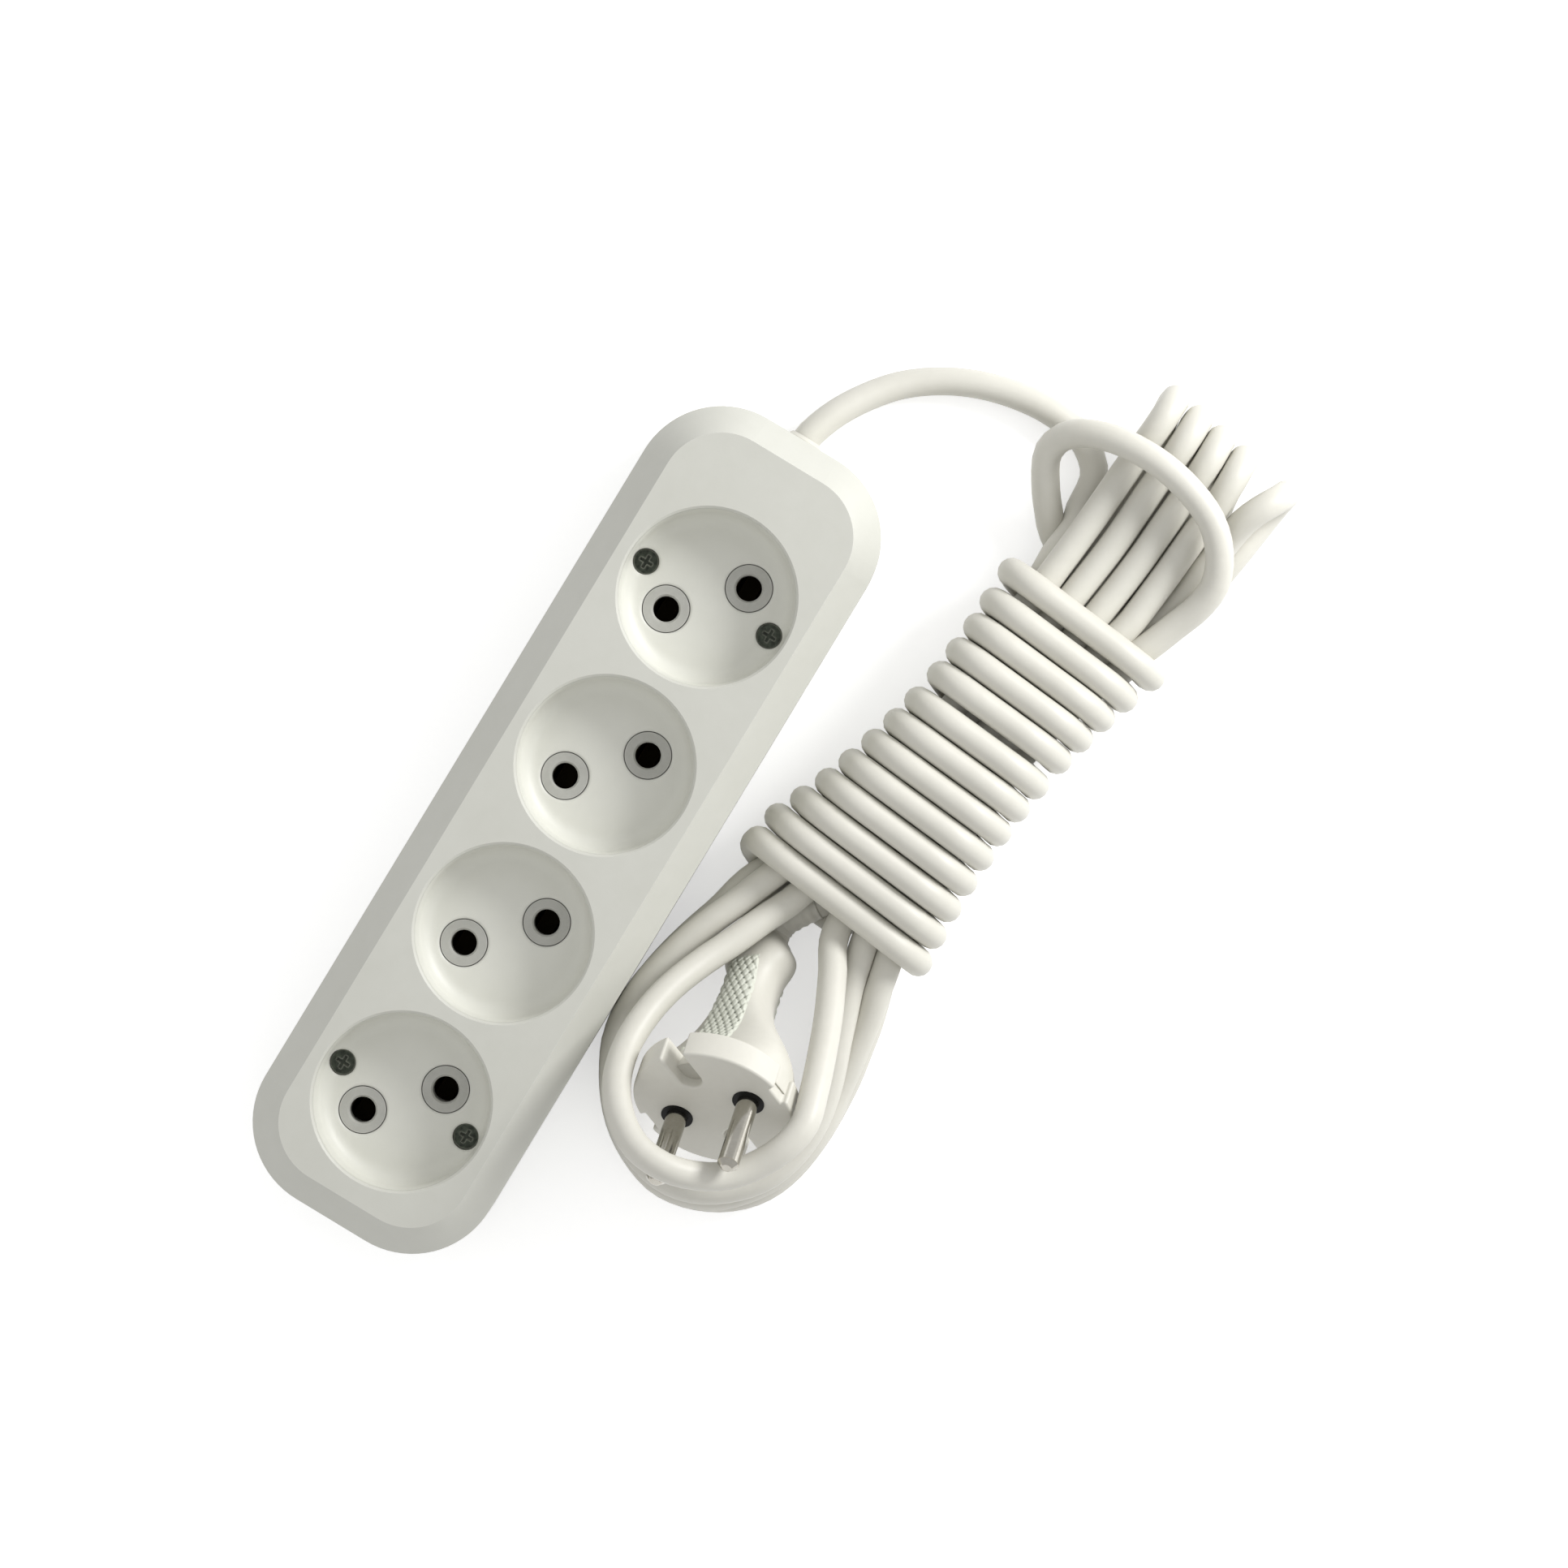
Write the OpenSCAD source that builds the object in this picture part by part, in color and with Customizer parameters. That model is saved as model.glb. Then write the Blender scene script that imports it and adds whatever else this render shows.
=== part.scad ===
// Four-way socket strip for round-pin plugs, with its cord wound into a hank.
// Millimetres. +Z is up and the floor is z = 0. The origin is at the middle
// of the housing's underside, and +X points at the end that the cord leaves.

/* [Housing] */
// Length from the cord end to the middle of the first socket
head_l = 41; // [34:0.5:45]
// Distance between the middles of neighbouring sockets
pitch = 43.4; // [43.2:0.1:48]
// Length from the middle of the last socket to the far end
tail_l = 31; // [30:0.5:40]
// Width of the housing
body_w = 58; // [56:0.5:66]
// Height of the housing
body_h = 35; // [34.6:0.2:40]
// Radius of the housing's corners, seen from above
corner_r = 20; // [17:0.5:22]
// Width of the sloping border round the top face
bevel_w = 6.25; // [4:0.25:7]
// Height of the sloping border
bevel_h = 7; // [4:0.25:9]
// Thickness of the outer walls
wall = 2.2; // [1.8:0.1:2.6]
// Height of the base tray's rim, where the two halves part
rim_z = 9; // [8:0.25:10]
// Thickness of the tray's floor
floor_t = 2.4; // [2:0.1:3]
// Height of the tongue that locates the cover on the tray
tongue_h = 2.5; // [1.5:0.25:3.5]

/* [Sockets] */
// Diameter of a socket's mouth
mouth_d = 39.5; // [38.5:0.1:40]
// Depth of a socket
recess_h = 11; // [9:0.25:11.2]
// Radius of the hollow curve between a socket's wall and its floor
recess_fillet = 4; // [2:0.25:5]
// How much narrower a socket's wall gets on the way down, per side
recess_draft = 0.55; // [0.2:0.05:0.8]
// Thickness of a socket's wall and floor
cup_t = 2.1; // [1.8:0.05:2.2]
// Distance between a socket's two pin holes
pin_gap = 19; // [18.8:0.1:19.2]
// Diameter of a pin hole
hole_d = 5.8; // [5.7:0.05:6]
// Outer diameter of the grey sleeve round a pin hole
sleeve_d = 10.4; // [9.8:0.1:10.6]
// Length of a sleeve
sleeve_l = 7.5; // [6:0.25:8]
// Thickness of the plate that joins a socket's two sleeves
carrier_t = 2.4; // [1.6:0.1:3]

/* [Contacts] */
// Width of a brass busbar
bus_w = 5; // [4.4:0.1:5.6]
// Thickness of a brass busbar
bus_t = 0.8; // [0.6:0.05:1]
// Thickness of the contact leaves
leaf_t = 0.6; // [0.4:0.05:0.7]
// Width of the contact leaves
leaf_w = 7; // [5:0.25:8]
// Gap between the leaves where they grip the pin
leaf_gap = 4.3; // [3.8:0.1:4.5]
// Height of the rails that carry the busbars
rail_h = 1.2; // [0.8:0.1:1.6]

/* [Fixings] */
// Distance from the socket's middle to a cover screw
screw_off = 16; // [15.6:0.1:16.2]
// Diameter of a cover screw's head
screw_head_d = 5.6; // [5:0.1:5.8]
// Diameter of a cover screw's shank
screw_d = 3; // [2.6:0.1:3.4]
// Outer diameter of the screw pillars
pillar_d = 9; // [8:0.1:9.4]
// Distance between the two hanging slots
hang_gap = 87.6; // [84:0.2:92]
// Width of a hanging slot
slot_w = 4.6; // [4.3:0.1:5]
// Diameter of a hanging slot's round end
slot_head_d = 7.8; // [7.4:0.1:8]

/* [Cord] */
// Diameter of the cord
cord_d = 6.5; // [6:0.1:7]
// Outer diameter of the gland's collar
collar_d = 8.2; // [7.8:0.1:9]
// Length of the collar outside the housing
collar_l = 1.6; // [1.2:0.1:3]
// Width of the clamp bar, along the cord
clamp_w = 7; // [5:0.25:8]
// Height of the wound part of the hank
wrap_h = 28; // [24:0.5:30]
// Height of the hank's open ends
fold_h = 23; // [20:0.5:24]
// Height of the hank's lower loops
loop_h = 20; // [18:0.5:22]

/* [Plug] */
// Diameter of the plug's flange
flange_d = 36.4; // [34:0.2:37]
// Thickness of the flange
flange_t = 6.8; // [5:0.2:8]
// Length of the plug's body, face to rear end
plug_l = 48; // [44:0.5:52]
// Diameter of a plug pin
plug_pin_d = 4.8; // [4:0.1:4.8]
// Length of a plug pin in front of the face
plug_pin_l = 19; // [17:0.5:19]
// Diameter of the black collar at the root of a pin
pin_collar_d = 7.2; // [6.4:0.1:7.6]

/* [Hidden] */
$fn = 64;

// Gaps between pieces that fit together
slide_gap = 0.2;
rest_gap = 0.3;
shank_gap = 0.05;

socket_count = 4;
body_l = head_l + (socket_count - 1) * pitch + tail_l;
end_x = body_l / 2;
socket_x = [for (i = [0 : socket_count - 1]) end_x - head_l - i * pitch];
recess_z = body_h - recess_h;
cup_z = recess_z - cup_t;
plate_z = body_h - wall;
carrier_z = cup_z - carrier_t;
sleeve_z = recess_z - sleeve_l;
pin_off = pin_gap / 2 / sqrt(2);
lobe_r = sleeve_d / 2 + 1.2;
bus_z = floor_t + rail_h;
bus_top = bus_z + bus_t;
leaf_top = sleeve_z - rest_gap;
post_r = 2.5;
tongue_t = 1.2;

// The cover screws sit in the first and the last socket
screw_x = [socket_x[0], socket_x[socket_count - 1]];
screw_seat_z = cup_z - 1.8;
screw_head_h = 2.4;
screw_split_z = 12;
screw_tip_z = 4.5;

// The cord enters where cover and tray meet
gland_z = rim_z;
gland_neck_d = collar_d - 0.8;
gland_flange_d = collar_d + 2.2;
gland_flange_t = 2;
gland_tail_l = 3.6;
clamp_x = end_x - wall - gland_flange_t - gland_tail_l - clamp_w - 1.8;
clamp_l = 24;
clamp_h = 5.6;
clamp_screw_y = 8.4;
clamp_screw_d = 2.6;
jacket_x = clamp_x - 1;
core_d = 2.4;
core_y = 1.5;
barrel_l = 3.2;
barrel_d = core_d + 1.4;
bus_end_x = socket_x[0] + pin_off + leaf_w / 2 + barrel_l;

// The hank has its own frame: +x runs up the hank to its folded end
hank_at = [57.85, -67, 0];
hank_turn = -10;
wrap_half_l = 44.5;
wrap_waist_x = 7;
wrap_waist = 19;
wrap_flare_top = 3.8;
wrap_flare_end = 6.6;

// The plug leans in the hank's open loop
plug_at = [-35.65, -59.5, 40];
plug_heading = 192.5;
plug_tilt = 40;
plug_roll = 133.5;
bridge_deep = 10;
bridge_front = 1.6;

// Route of the cord from the clamp to the hank
lead_route = [[jacket_x, 0, gland_z], [jacket_x + 9, 0, gland_z], [end_x, 0, gland_z],
    [end_x + collar_l, 0, gland_z], [109.8, -2.2, 7.8], [116.8, -6, 5.8],
    [123.8, -11.5, 4], [129.3, -18.5, 3.3], [133.3, -26.5, 3.3], [135.8, -35.5, 3.3],
    [136.6, -44, 3.3], [135.3, -52.5, 3.3], [129.8, -59.5, 3.8], [120.8, -60.8, 5.5]];
// Route of the loop across the folded end, in the hank's frame
neck_route = [[49, 8, 3.6], [54, 19, 6.5], [60.5, 27, 11], [66, 31, 14.5],
    [71.5, 29.8, 18.8], [76.3, 23, 23], [79, 13, 25.6], [79.3, 3, 26],
    [77.3, -6.5, 25.4], [73.2, -12.6, 24], [67.5, -16.6, 22], [61.5, -17.2, 20],
    [55, -16, 18]];
// Route of the open loop's top turn, over one plug pin and under the other
bight_route = [[-44, 7, 16.3], [-54, 9.7, 18], [-63, 11.8, 20.5], [-71, 14, 23.5],
    [-80, 15.7, 28], [-89, 15.7, 33], [-97, 14, 38.5], [-103.5, 10.3, 44.5],
    [-108, 4.5, 49.5], [-110, -2, 53], [-109.2, -9, 53.6], [-106.3, -15.3, 51.3],
    [-102, -20.5, 48.2], [-96, -24, 47.3], [-89, -26, 48], [-82.5, -26.1, 46.9],
    [-76, -23.2, 42.5], [-69, -19.4, 36.5], [-61.5, -14.9, 29.8], [-54, -9.6, 23],
    [-46, -3.5, 17]];
tube_sides = 10;

// ---- helpers ----

// Outline of the housing, drawn in by d all round
module housing_outline(d = 0) {
    l = body_l - 2 * d;
    w = body_w - 2 * d;
    r = corner_r - d;
    square([l - 2 * r, w], center = true);
    square([l, w - 2 * r], center = true);
    for (x = [-1, 1], y = [-1, 1])
        translate([x * (l / 2 - r), y * (w / 2 - r)]) circle(r, $fn = 96);
}

// Block of the housing's outline with a sloping border at the top
module bevelled_block(d, z0, z1) {
    l = body_l - 2 * d;
    w = body_w - 2 * d;
    r = corner_r - d;
    translate([0, 0, z0]) linear_extrude(z1 - bevel_h - z0) housing_outline(d);
    translate([0, 0, z1 - bevel_h]) {
        for (x = [-1, 1], y = [-1, 1])
            translate([x * (l / 2 - r), y * (w / 2 - r), 0])
                cylinder(bevel_h, r, r - bevel_w, $fn = 96);
        rotate([90, 0, 90]) linear_extrude(l - 2 * r, center = true)
            border_profile(w / 2);
        rotate([90, 0, 0]) linear_extrude(w - 2 * r, center = true)
            border_profile(l / 2);
    }
}

// Section through the sloping border of a block that is 2 * half wide
module border_profile(half) {
    polygon([[-half, 0], [half, 0], [half - bevel_w, bevel_h], [bevel_w - half, bevel_h]]);
}

// Points of a quarter circle about c, from angle a to angle b
function arc(c, r, a, b, n = 8) =
    [for (i = [0 : n]) let (t = a + (b - a) * i / n) c + r * [cos(t), sin(t)]];

// Places its children at both pin holes of the socket at x
module at_pins(x) {
    for (s = [-1, 1]) translate([x + s * pin_off, -s * pin_off, 0]) children();
}

// Places its children at the four cover screws
module at_screws() {
    for (x = screw_x, y = [-screw_off, screw_off]) translate([x, y, 0]) children();
}

// Section of a tube about the point p, square to the direction d
function ring(p, d, r, n) =
    let (t = d / norm(d), u = cross([0, 0, 1], t), s = u / norm(u), v = cross(t, s))
    [for (i = [0 : n - 1]) p + r * (cos(360 * i / n) * s + sin(360 * i / n) * v)];

// Tube along the points of a route; r is one radius, or one for each point
module tube(route, r, n = tube_sides) {
    m = len(route);
    last = m - 1;
    way = [for (i = [0 : last]) route[min(i + 1, last)] - route[max(i - 1, 0)]];
    size = [for (i = [0 : last]) is_list(r) ? r[i] : r];
    points = [for (i = [0 : last]) each ring(route[i], way[i], size[i], n)];
    skin = [for (i = [0 : last - 1], j = [0 : n - 1])
        let (a = i * n + j, b = i * n + (j + 1) % n) each [[a, b, b + n], [a, b + n, a + n]]];
    cap_a = [[for (j = [n - 1 : -1 : 0]) j]];
    cap_b = [[for (j = [0 : n - 1]) last * n + j]];
    polyhedron(points, [for (f = concat(skin, cap_a, cap_b)) [for (k = [len(f) - 1 : -1 : 0]) f[k]]]);
}

// Puts its children into the hank's frame
module in_hank() {
    translate(hank_at) rotate([0, 0, hank_turn]) children();
}

// Puts its children on the leaning plug: +Z leaves the face along the pins
module on_plug() {
    translate(plug_at) rotate([0, 90 - plug_tilt, plug_heading]) rotate([0, 0, plug_roll])
        children();
}

// ---- housing ----

// Hollow of one socket, from its floor to above its mouth
module socket_hollow() {
    r = mouth_d / 2;
    foot_r = r - recess_draft;
    lip = 0.5;
    rotate_extrude($fn = 96) polygon(concat(
        [[0, recess_z]],
        arc([foot_r - recess_fillet, recess_z + recess_fillet], recess_fillet, -90, 0),
        [[r, body_h - lip], [r + lip, body_h], [r + lip, body_h + 2], [0, body_h + 2]]));
}

// Hole for the gland, split by the parting line
module gland_hole(d) {
    translate([end_x - 2 * wall - tongue_t - 2, 0, gland_z]) rotate([0, 90, 0])
        cylinder(3 * wall + tongue_t + 4, d = d);
}

// Shell with the sloping border; the sockets' mouths are holes in its face
module top_cover() {
    color("#e6e4da") difference() {
        bevelled_block(0, rim_z, body_h);
        bevelled_block(wall, rim_z - 1, plate_z);
        for (x = socket_x) translate([x, 0, 0]) socket_hollow();
        gland_hole(gland_neck_d + 2 * slide_gap);
    }
}

// Wall and floor of the socket at x, bonded under the cover's face; a cup with
// pillars takes two of the cover screws
module socket_cup(x, pillars) {
    span = pitch - slide_gap;
    color("#e4e2d8") difference() {
        union() {
            intersection() {
                translate([x, 0, cup_z])
                    cylinder(plate_z - cup_z, d = mouth_d + 2 * cup_t, $fn = 96);
                bevelled_block(wall + shank_gap, rim_z, plate_z);
                translate([x - span / 2, -body_w / 2, 0]) cube([span, body_w, body_h]);
            }
            if (pillars) for (y = [-screw_off, screw_off]) translate([x, y, screw_split_z])
                cylinder(cup_z - screw_split_z + 0.5, d = pillar_d);
        }
        translate([x, 0, 0]) socket_hollow();
        at_pins(x) translate([0, 0, cup_z - 1]) cylinder(cup_t + 2, d = sleeve_d + 2 * slide_gap);
        if (pillars) for (y = [-screw_off, screw_off]) translate([x, y, 0]) {
            translate([0, 0, screw_seat_z]) cylinder(recess_h, d = screw_head_d + rest_gap);
            translate([0, 0, screw_split_z - 1])
                cylinder(screw_seat_z - screw_split_z + 2, d = screw_d + 0.4);
        }
    }
}

// Keyhole in the tray's floor: a round end for the screw's head and a slot
module hanging_slot() {
    slot_l = 8;
    translate([0, 0, -1]) {
        cylinder(floor_t + 2, d = slot_head_d);
        translate([0, -slot_w / 2, 0]) cube([slot_l, slot_w, floor_t + 2]);
        translate([slot_l, 0, 0]) cylinder(floor_t + 2, d = slot_w);
    }
}

module base_tray() {
    tongue_d = wall + slide_gap;
    saddle_h = gland_z - floor_t - slide_gap;
    color("#e2e0d6") difference() {
        union() {
            difference() {
                union() {
                    linear_extrude(rim_z) housing_outline();
                    translate([0, 0, rim_z - 0.01]) linear_extrude(tongue_h)
                        housing_outline(tongue_d);
                }
                translate([0, 0, floor_t]) linear_extrude(rim_z + tongue_h)
                    housing_outline(tongue_d + tongue_t);
            }
            for (y = [-pin_off, pin_off])
                translate([socket_x[socket_count - 1] - pin_off - leaf_w / 2, y - 1.5, floor_t - 0.01])
                    cube([bus_end_x - socket_x[socket_count - 1] + pin_off + leaf_w / 2, 3, rail_h + 0.01]);
            for (x = socket_x) translate([x, 0, floor_t - 0.01])
                cylinder(carrier_z - floor_t + 0.01, r = post_r);
            at_screws() translate([0, 0, floor_t - 0.01])
                cylinder(screw_split_z - floor_t + 0.01, d = pillar_d);
            translate([clamp_x, -clamp_l / 2, floor_t - 0.01])
                cube([clamp_w, clamp_l, saddle_h + 0.01]);
        }
        at_screws() translate([0, 0, screw_tip_z - 1])
            cylinder(screw_split_z, d = screw_d + 2 * shank_gap);
        for (s = [-1, 1]) translate([s * hang_gap / 2, 0, 0]) hanging_slot();
        gland_hole(gland_neck_d + 2 * slide_gap);
        translate([end_x - 2 * wall - tongue_t - 1, -gland_flange_d / 2 - 1, gland_z])
            cube([wall + tongue_t + 1, gland_flange_d + 2, tongue_h + 1]);
        translate([end_x - 2 * wall - tongue_t - 4, 0, gland_z]) rotate([0, 90, 0])
            cylinder(wall + tongue_t + 4 - slide_gap, d = gland_flange_d + 2 * slide_gap);
        translate([clamp_x - 1, 0, gland_z]) rotate([0, 90, 0])
            cylinder(clamp_w + 2, d = cord_d + 0.2);
        for (y = [-clamp_screw_y, clamp_screw_y]) translate([clamp_x + clamp_w / 2, y, floor_t + 0.8])
            cylinder(saddle_h + 1, d = clamp_screw_d + 2 * shank_gap);
    }
}

// ---- contacts ----

// Grey insulator of the socket at x: two sleeves on one plate
module contact_carrier(x) {
    color("#b9b8b0") difference() {
        union() {
            at_pins(x) {
                translate([0, 0, sleeve_z]) cylinder(sleeve_l, d = sleeve_d);
                translate([0, 0, carrier_z]) cylinder(carrier_t, r = lobe_r);
            }
            translate([x, 0, carrier_z]) rotate([0, 0, -45])
                translate([-pin_gap / 2, -lobe_r * 0.7, 0])
                    cube([pin_gap, lobe_r * 1.4, carrier_t]);
        }
        at_pins(x) {
            translate([0, 0, sleeve_z - 1]) cylinder(sleeve_l + 2, d = hole_d);
            translate([0, 0, recess_z - 0.5]) cylinder(0.51, d1 = hole_d, d2 = hole_d + 0.8);
        }
    }
}

// One leaf of a contact: leans in to the grip, then flares out at its mouth
module leaf() {
    rise = leaf_top - bus_top;
    grip = leaf_gap / 2;
    inner = [[bus_w / 2 - leaf_t, -bus_t / 2], [bus_w / 2 - leaf_t, rise * 0.15],
        [grip, rise * 0.65], [grip + 0.1, rise * 0.78], [bus_w / 2 + 0.2, rise]];
    outer = [for (i = [len(inner) - 1 : -1 : 0]) inner[i] + [leaf_t, 0]];
    translate([-leaf_w / 2, 0, bus_top]) rotate([90, 0, 90]) linear_extrude(leaf_w)
        polygon(concat(inner, outer));
}

// Brass strip with a pair of leaves at each pin; side is -1 for line, 1 for neutral
module busbar(side) {
    far = socket_x[socket_count - 1] - side * pin_off - leaf_w / 2;
    color("#c8a24a") translate([0, side * pin_off, 0]) {
        translate([far, -bus_w / 2, bus_z]) cube([bus_end_x - far, bus_w, bus_t]);
        for (x = socket_x) translate([x - side * pin_off, 0, 0]) {
            leaf();
            mirror([0, 1, 0]) leaf();
        }
        translate([bus_end_x - barrel_l, 0, bus_top + barrel_d / 2 - 0.3]) rotate([0, 90, 0])
            difference() {
                cylinder(barrel_l, d = barrel_d);
                translate([0, 0, -1]) cylinder(barrel_l + 2, d = core_d + 0.1);
            }
    }
}

// Insulated core from the jacket's end to the busbar's barrel
module core(side, hue) {
    z = bus_top + barrel_d / 2 - 0.3;
    y = side * pin_off;
    gap = jacket_x - bus_end_x;
    color(hue) tube([[jacket_x - 0.05, side * core_y, gland_z],
        [jacket_x - gap * 0.2, side * (core_y + 0.5), gland_z - 0.3],
        [jacket_x - gap * 0.5, (y + side * core_y) / 2, (z + gland_z) / 2],
        [jacket_x - gap * 0.8, y - side * 0.5, z + 0.3], [bus_end_x - 0.2, y, z],
        [bus_end_x - barrel_l + 0.4, y, z]], core_d / 2 - 0.02, 8);
}

// ---- fixings ----

module cover_screws() {
    color("#5c6258") at_screws() difference() {
        union() {
            translate([0, 0, screw_seat_z]) cylinder(screw_head_h, d = screw_head_d);
            translate([0, 0, screw_tip_z]) cylinder(screw_seat_z - screw_tip_z + 0.01, d = screw_d);
        }
        for (a = [0, 90]) rotate([0, 0, a]) translate([-1.6, -0.4, screw_seat_z + 1])
            cube([3.2, 0.8, screw_head_h]);
    }
}

module cord_clamp() {
    z = gland_z + slide_gap;
    color("#d8d6cc") difference() {
        union() {
            translate([clamp_x, -clamp_l / 2, z]) cube([clamp_w, clamp_l, clamp_h - 2]);
            translate([clamp_x, 0, gland_z]) rotate([0, 90, 0]) cylinder(clamp_w, r = clamp_h);
        }
        translate([clamp_x - 1, 0, gland_z]) rotate([0, 90, 0])
            cylinder(clamp_w + 2, d = cord_d + 0.2);
        translate([clamp_x - 1, -clamp_l, gland_z - 2 * clamp_h])
            cube([clamp_w + 2, 2 * clamp_l, 2 * clamp_h + slide_gap]);
        for (y = [-clamp_screw_y, clamp_screw_y]) translate([clamp_x + clamp_w / 2, y, z - 1])
            cylinder(clamp_h, d = clamp_screw_d + 2 * shank_gap);
    }
}

module clamp_screws() {
    seat = gland_z + slide_gap + clamp_h - 2;
    color("#9a9c96") for (y = [-clamp_screw_y, clamp_screw_y])
        translate([clamp_x + clamp_w / 2, y, 0]) difference() {
            union() {
                translate([0, 0, seat]) cylinder(1.8, d = 2 * clamp_screw_d);
                translate([0, 0, floor_t + 1]) cylinder(seat - floor_t - 0.9, d = clamp_screw_d);
            }
            translate([-clamp_screw_d, -0.3, seat + 1]) cube([2 * clamp_screw_d, 0.6, 2]);
        }
}

// Moulded gland: collar, neck through the wall, flange behind it and a tail
module cord_gland() {
    bore_r = cord_d / 2 + 0.05;
    tail_r = bore_r + 0.8;
    back = -wall - gland_flange_t - slide_gap;
    color("#e9e8e0") translate([end_x, 0, gland_z]) rotate([0, 90, 0]) rotate_extrude()
        polygon([[bore_r, back - gland_tail_l], [tail_r, back - gland_tail_l],
            [tail_r + 0.5, back], [gland_flange_d / 2, back],
            [gland_flange_d / 2, back + gland_flange_t],
            [gland_neck_d / 2, back + gland_flange_t], [gland_neck_d / 2, 0.02],
            [collar_d / 2, 0.02], [collar_d / 2, collar_l - 0.8],
            [collar_d / 2 - 0.6, collar_l], [bore_r, collar_l]]);
}

// ---- plug ----

// Half width and half thickness of the plug's body at a share t of its length
function grip_half(t) = let (
        neck = 6.2 + 10.6 * pow(cos(90 * min(1, max(0, (t - 0.08) / 0.62))), 2),
        wing = 2.4 * exp(-pow((t - 0.89) / 0.07, 2)),
        tip = 1 - 0.14 * pow(max(0, (t - 0.9) / 0.1), 2))
    [(neck + wing) * tip, (neck * 0.82 + 1.4) * tip];

// Moulded grip as a loft of ovals, and the notched flange in front of it
module plug_body() {
    n = 32;
    steps = 18;
    first = 0.055;
    points = [for (i = [0 : steps]) let (t = first + (1 - first) * i / steps, h = grip_half(t))
        each [for (j = [0 : n - 1]) let (a = 360 * j / n, c = cos(a), s = sin(a))
            [h[0] * sign(c) * pow(abs(c), 0.8), h[1] * sign(s) * pow(abs(s), 0.8), -plug_l * t]]];
    skin = [for (i = [0 : steps - 1], j = [0 : n - 1])
        let (a = i * n + j, b = i * n + (j + 1) % n) each [[a, b, b + n], [a, b + n, a + n]]];
    cap_a = [[for (j = [n - 1 : -1 : 0]) j]];
    cap_b = [[for (j = [0 : n - 1]) steps * n + j]];
    slot_y = 10;
    color("#e4e3da") on_plug() difference() {
        union() {
            polyhedron(points, concat(skin, cap_a, cap_b));
            flange();
        }
        for (s = [-1, 1]) translate([s * pin_gap / 2, 0, -bridge_deep])
            cylinder(bridge_deep + 1, d = pin_collar_d + 0.2);
        translate([0, 0, -bridge_deep]) bridge_block(0.1);
    }
}

// Round flange with two open slots and two shallow notches in its rim
module flange() {
    slot_y = 10;
    slot_half = 2.7;
    clip_half = 2.5;
    clip_deep = 1.6;
    difference() {
        translate([0, 0, -flange_t]) cylinder(flange_t, d = flange_d, $fn = 96);
        for (s = [-1, 1]) {
            translate([0, s * slot_y, -flange_t - 1]) cylinder(flange_t + 2, r = slot_half);
            translate([-slot_half, s > 0 ? slot_y : -flange_d, -flange_t - 1])
                cube([2 * slot_half, flange_d - slot_y, flange_t + 2]);
            translate([s > 0 ? flange_d / 2 - clip_deep : -flange_d, -clip_half, -flange_t - 1])
                cube([flange_d / 2 + clip_deep, 2 * clip_half, flange_t + 2]);
        }
    }
}

// Block that holds both pins, grown by g on every side
module bridge_block(g) {
    l = pin_gap + pin_collar_d + 2 * g;
    translate([-l / 2, -pin_collar_d / 2 - g, -g])
        cube([l, pin_collar_d + 2 * g, bridge_deep - bridge_front + 2 * g]);
}

// Dark insert in the plug's face; only its two collars show
module plug_bridge() {
    color("#1b1b1b") on_plug() difference() {
        union() {
            translate([0, 0, -bridge_deep]) bridge_block(0);
            for (s = [-1, 1]) translate([s * pin_gap / 2, 0, -bridge_front - 0.01])
                cylinder(bridge_front + 0.3, d = pin_collar_d);
        }
        for (s = [-1, 1]) translate([s * pin_gap / 2, 0, -bridge_deep - 1])
            cylinder(bridge_deep + 2, d = plug_pin_d + 0.04);
    }
}

// Solid pin with a bevelled tip; side is 1 for line, -1 for neutral
module plug_pin(side) {
    r = plug_pin_d / 2;
    color("#c9c9c6") on_plug() translate([side * pin_gap / 2, 0, 0]) rotate_extrude()
        polygon([[0, 0.2 - bridge_deep], [r, 0.2 - bridge_deep], [r, plug_pin_l - 1.2],
            [r - 0.9, plug_pin_l - 0.2], [r - 1.3, plug_pin_l], [0, plug_pin_l]]);
}

// Tapered relief from the grip's rear end into the last turn of the hank
module plug_relief() {
    tip = on_plug_point([0, 0, -plug_l]);
    heel = on_plug_point([0, 0, -plug_l - 4]);
    color("#e4e3da") tube([tip, heel, [7, -51.3, 7.2], [10.9, -53.6, 8.2],
        [14.5, -56.4, 9], [18.2, -58.8, 9.6]], [4.6, 4.4, 4.1, 3.8, 3.6, 3.4]);
}

// Place of a point of the plug's frame that lies on its axis
function on_plug_point(p) = plug_at + p[2] * [cos(plug_tilt) * cos(plug_heading),
    cos(plug_tilt) * sin(plug_heading), sin(plug_tilt)];

// ---- cord ----

module cord_lead() {
    color("#dedcd2") tube(lead_route, cord_d / 2 - 0.01);
}

module cord_neck() {
    color("#dedcd2") in_hank() tube(neck_route, cord_d / 2);
}

module cord_bight() {
    color("#dedcd2") in_hank() tube(bight_route, cord_d / 2);
}

// Half width of the wound part at x along the hank
function wrap_half(x) = let (t = (x - wrap_waist_x) / (wrap_half_l - wrap_waist_x * sign(x - wrap_waist_x)))
    wrap_waist + (t > 0 ? wrap_flare_top : wrap_flare_end) * t * t;

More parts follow.
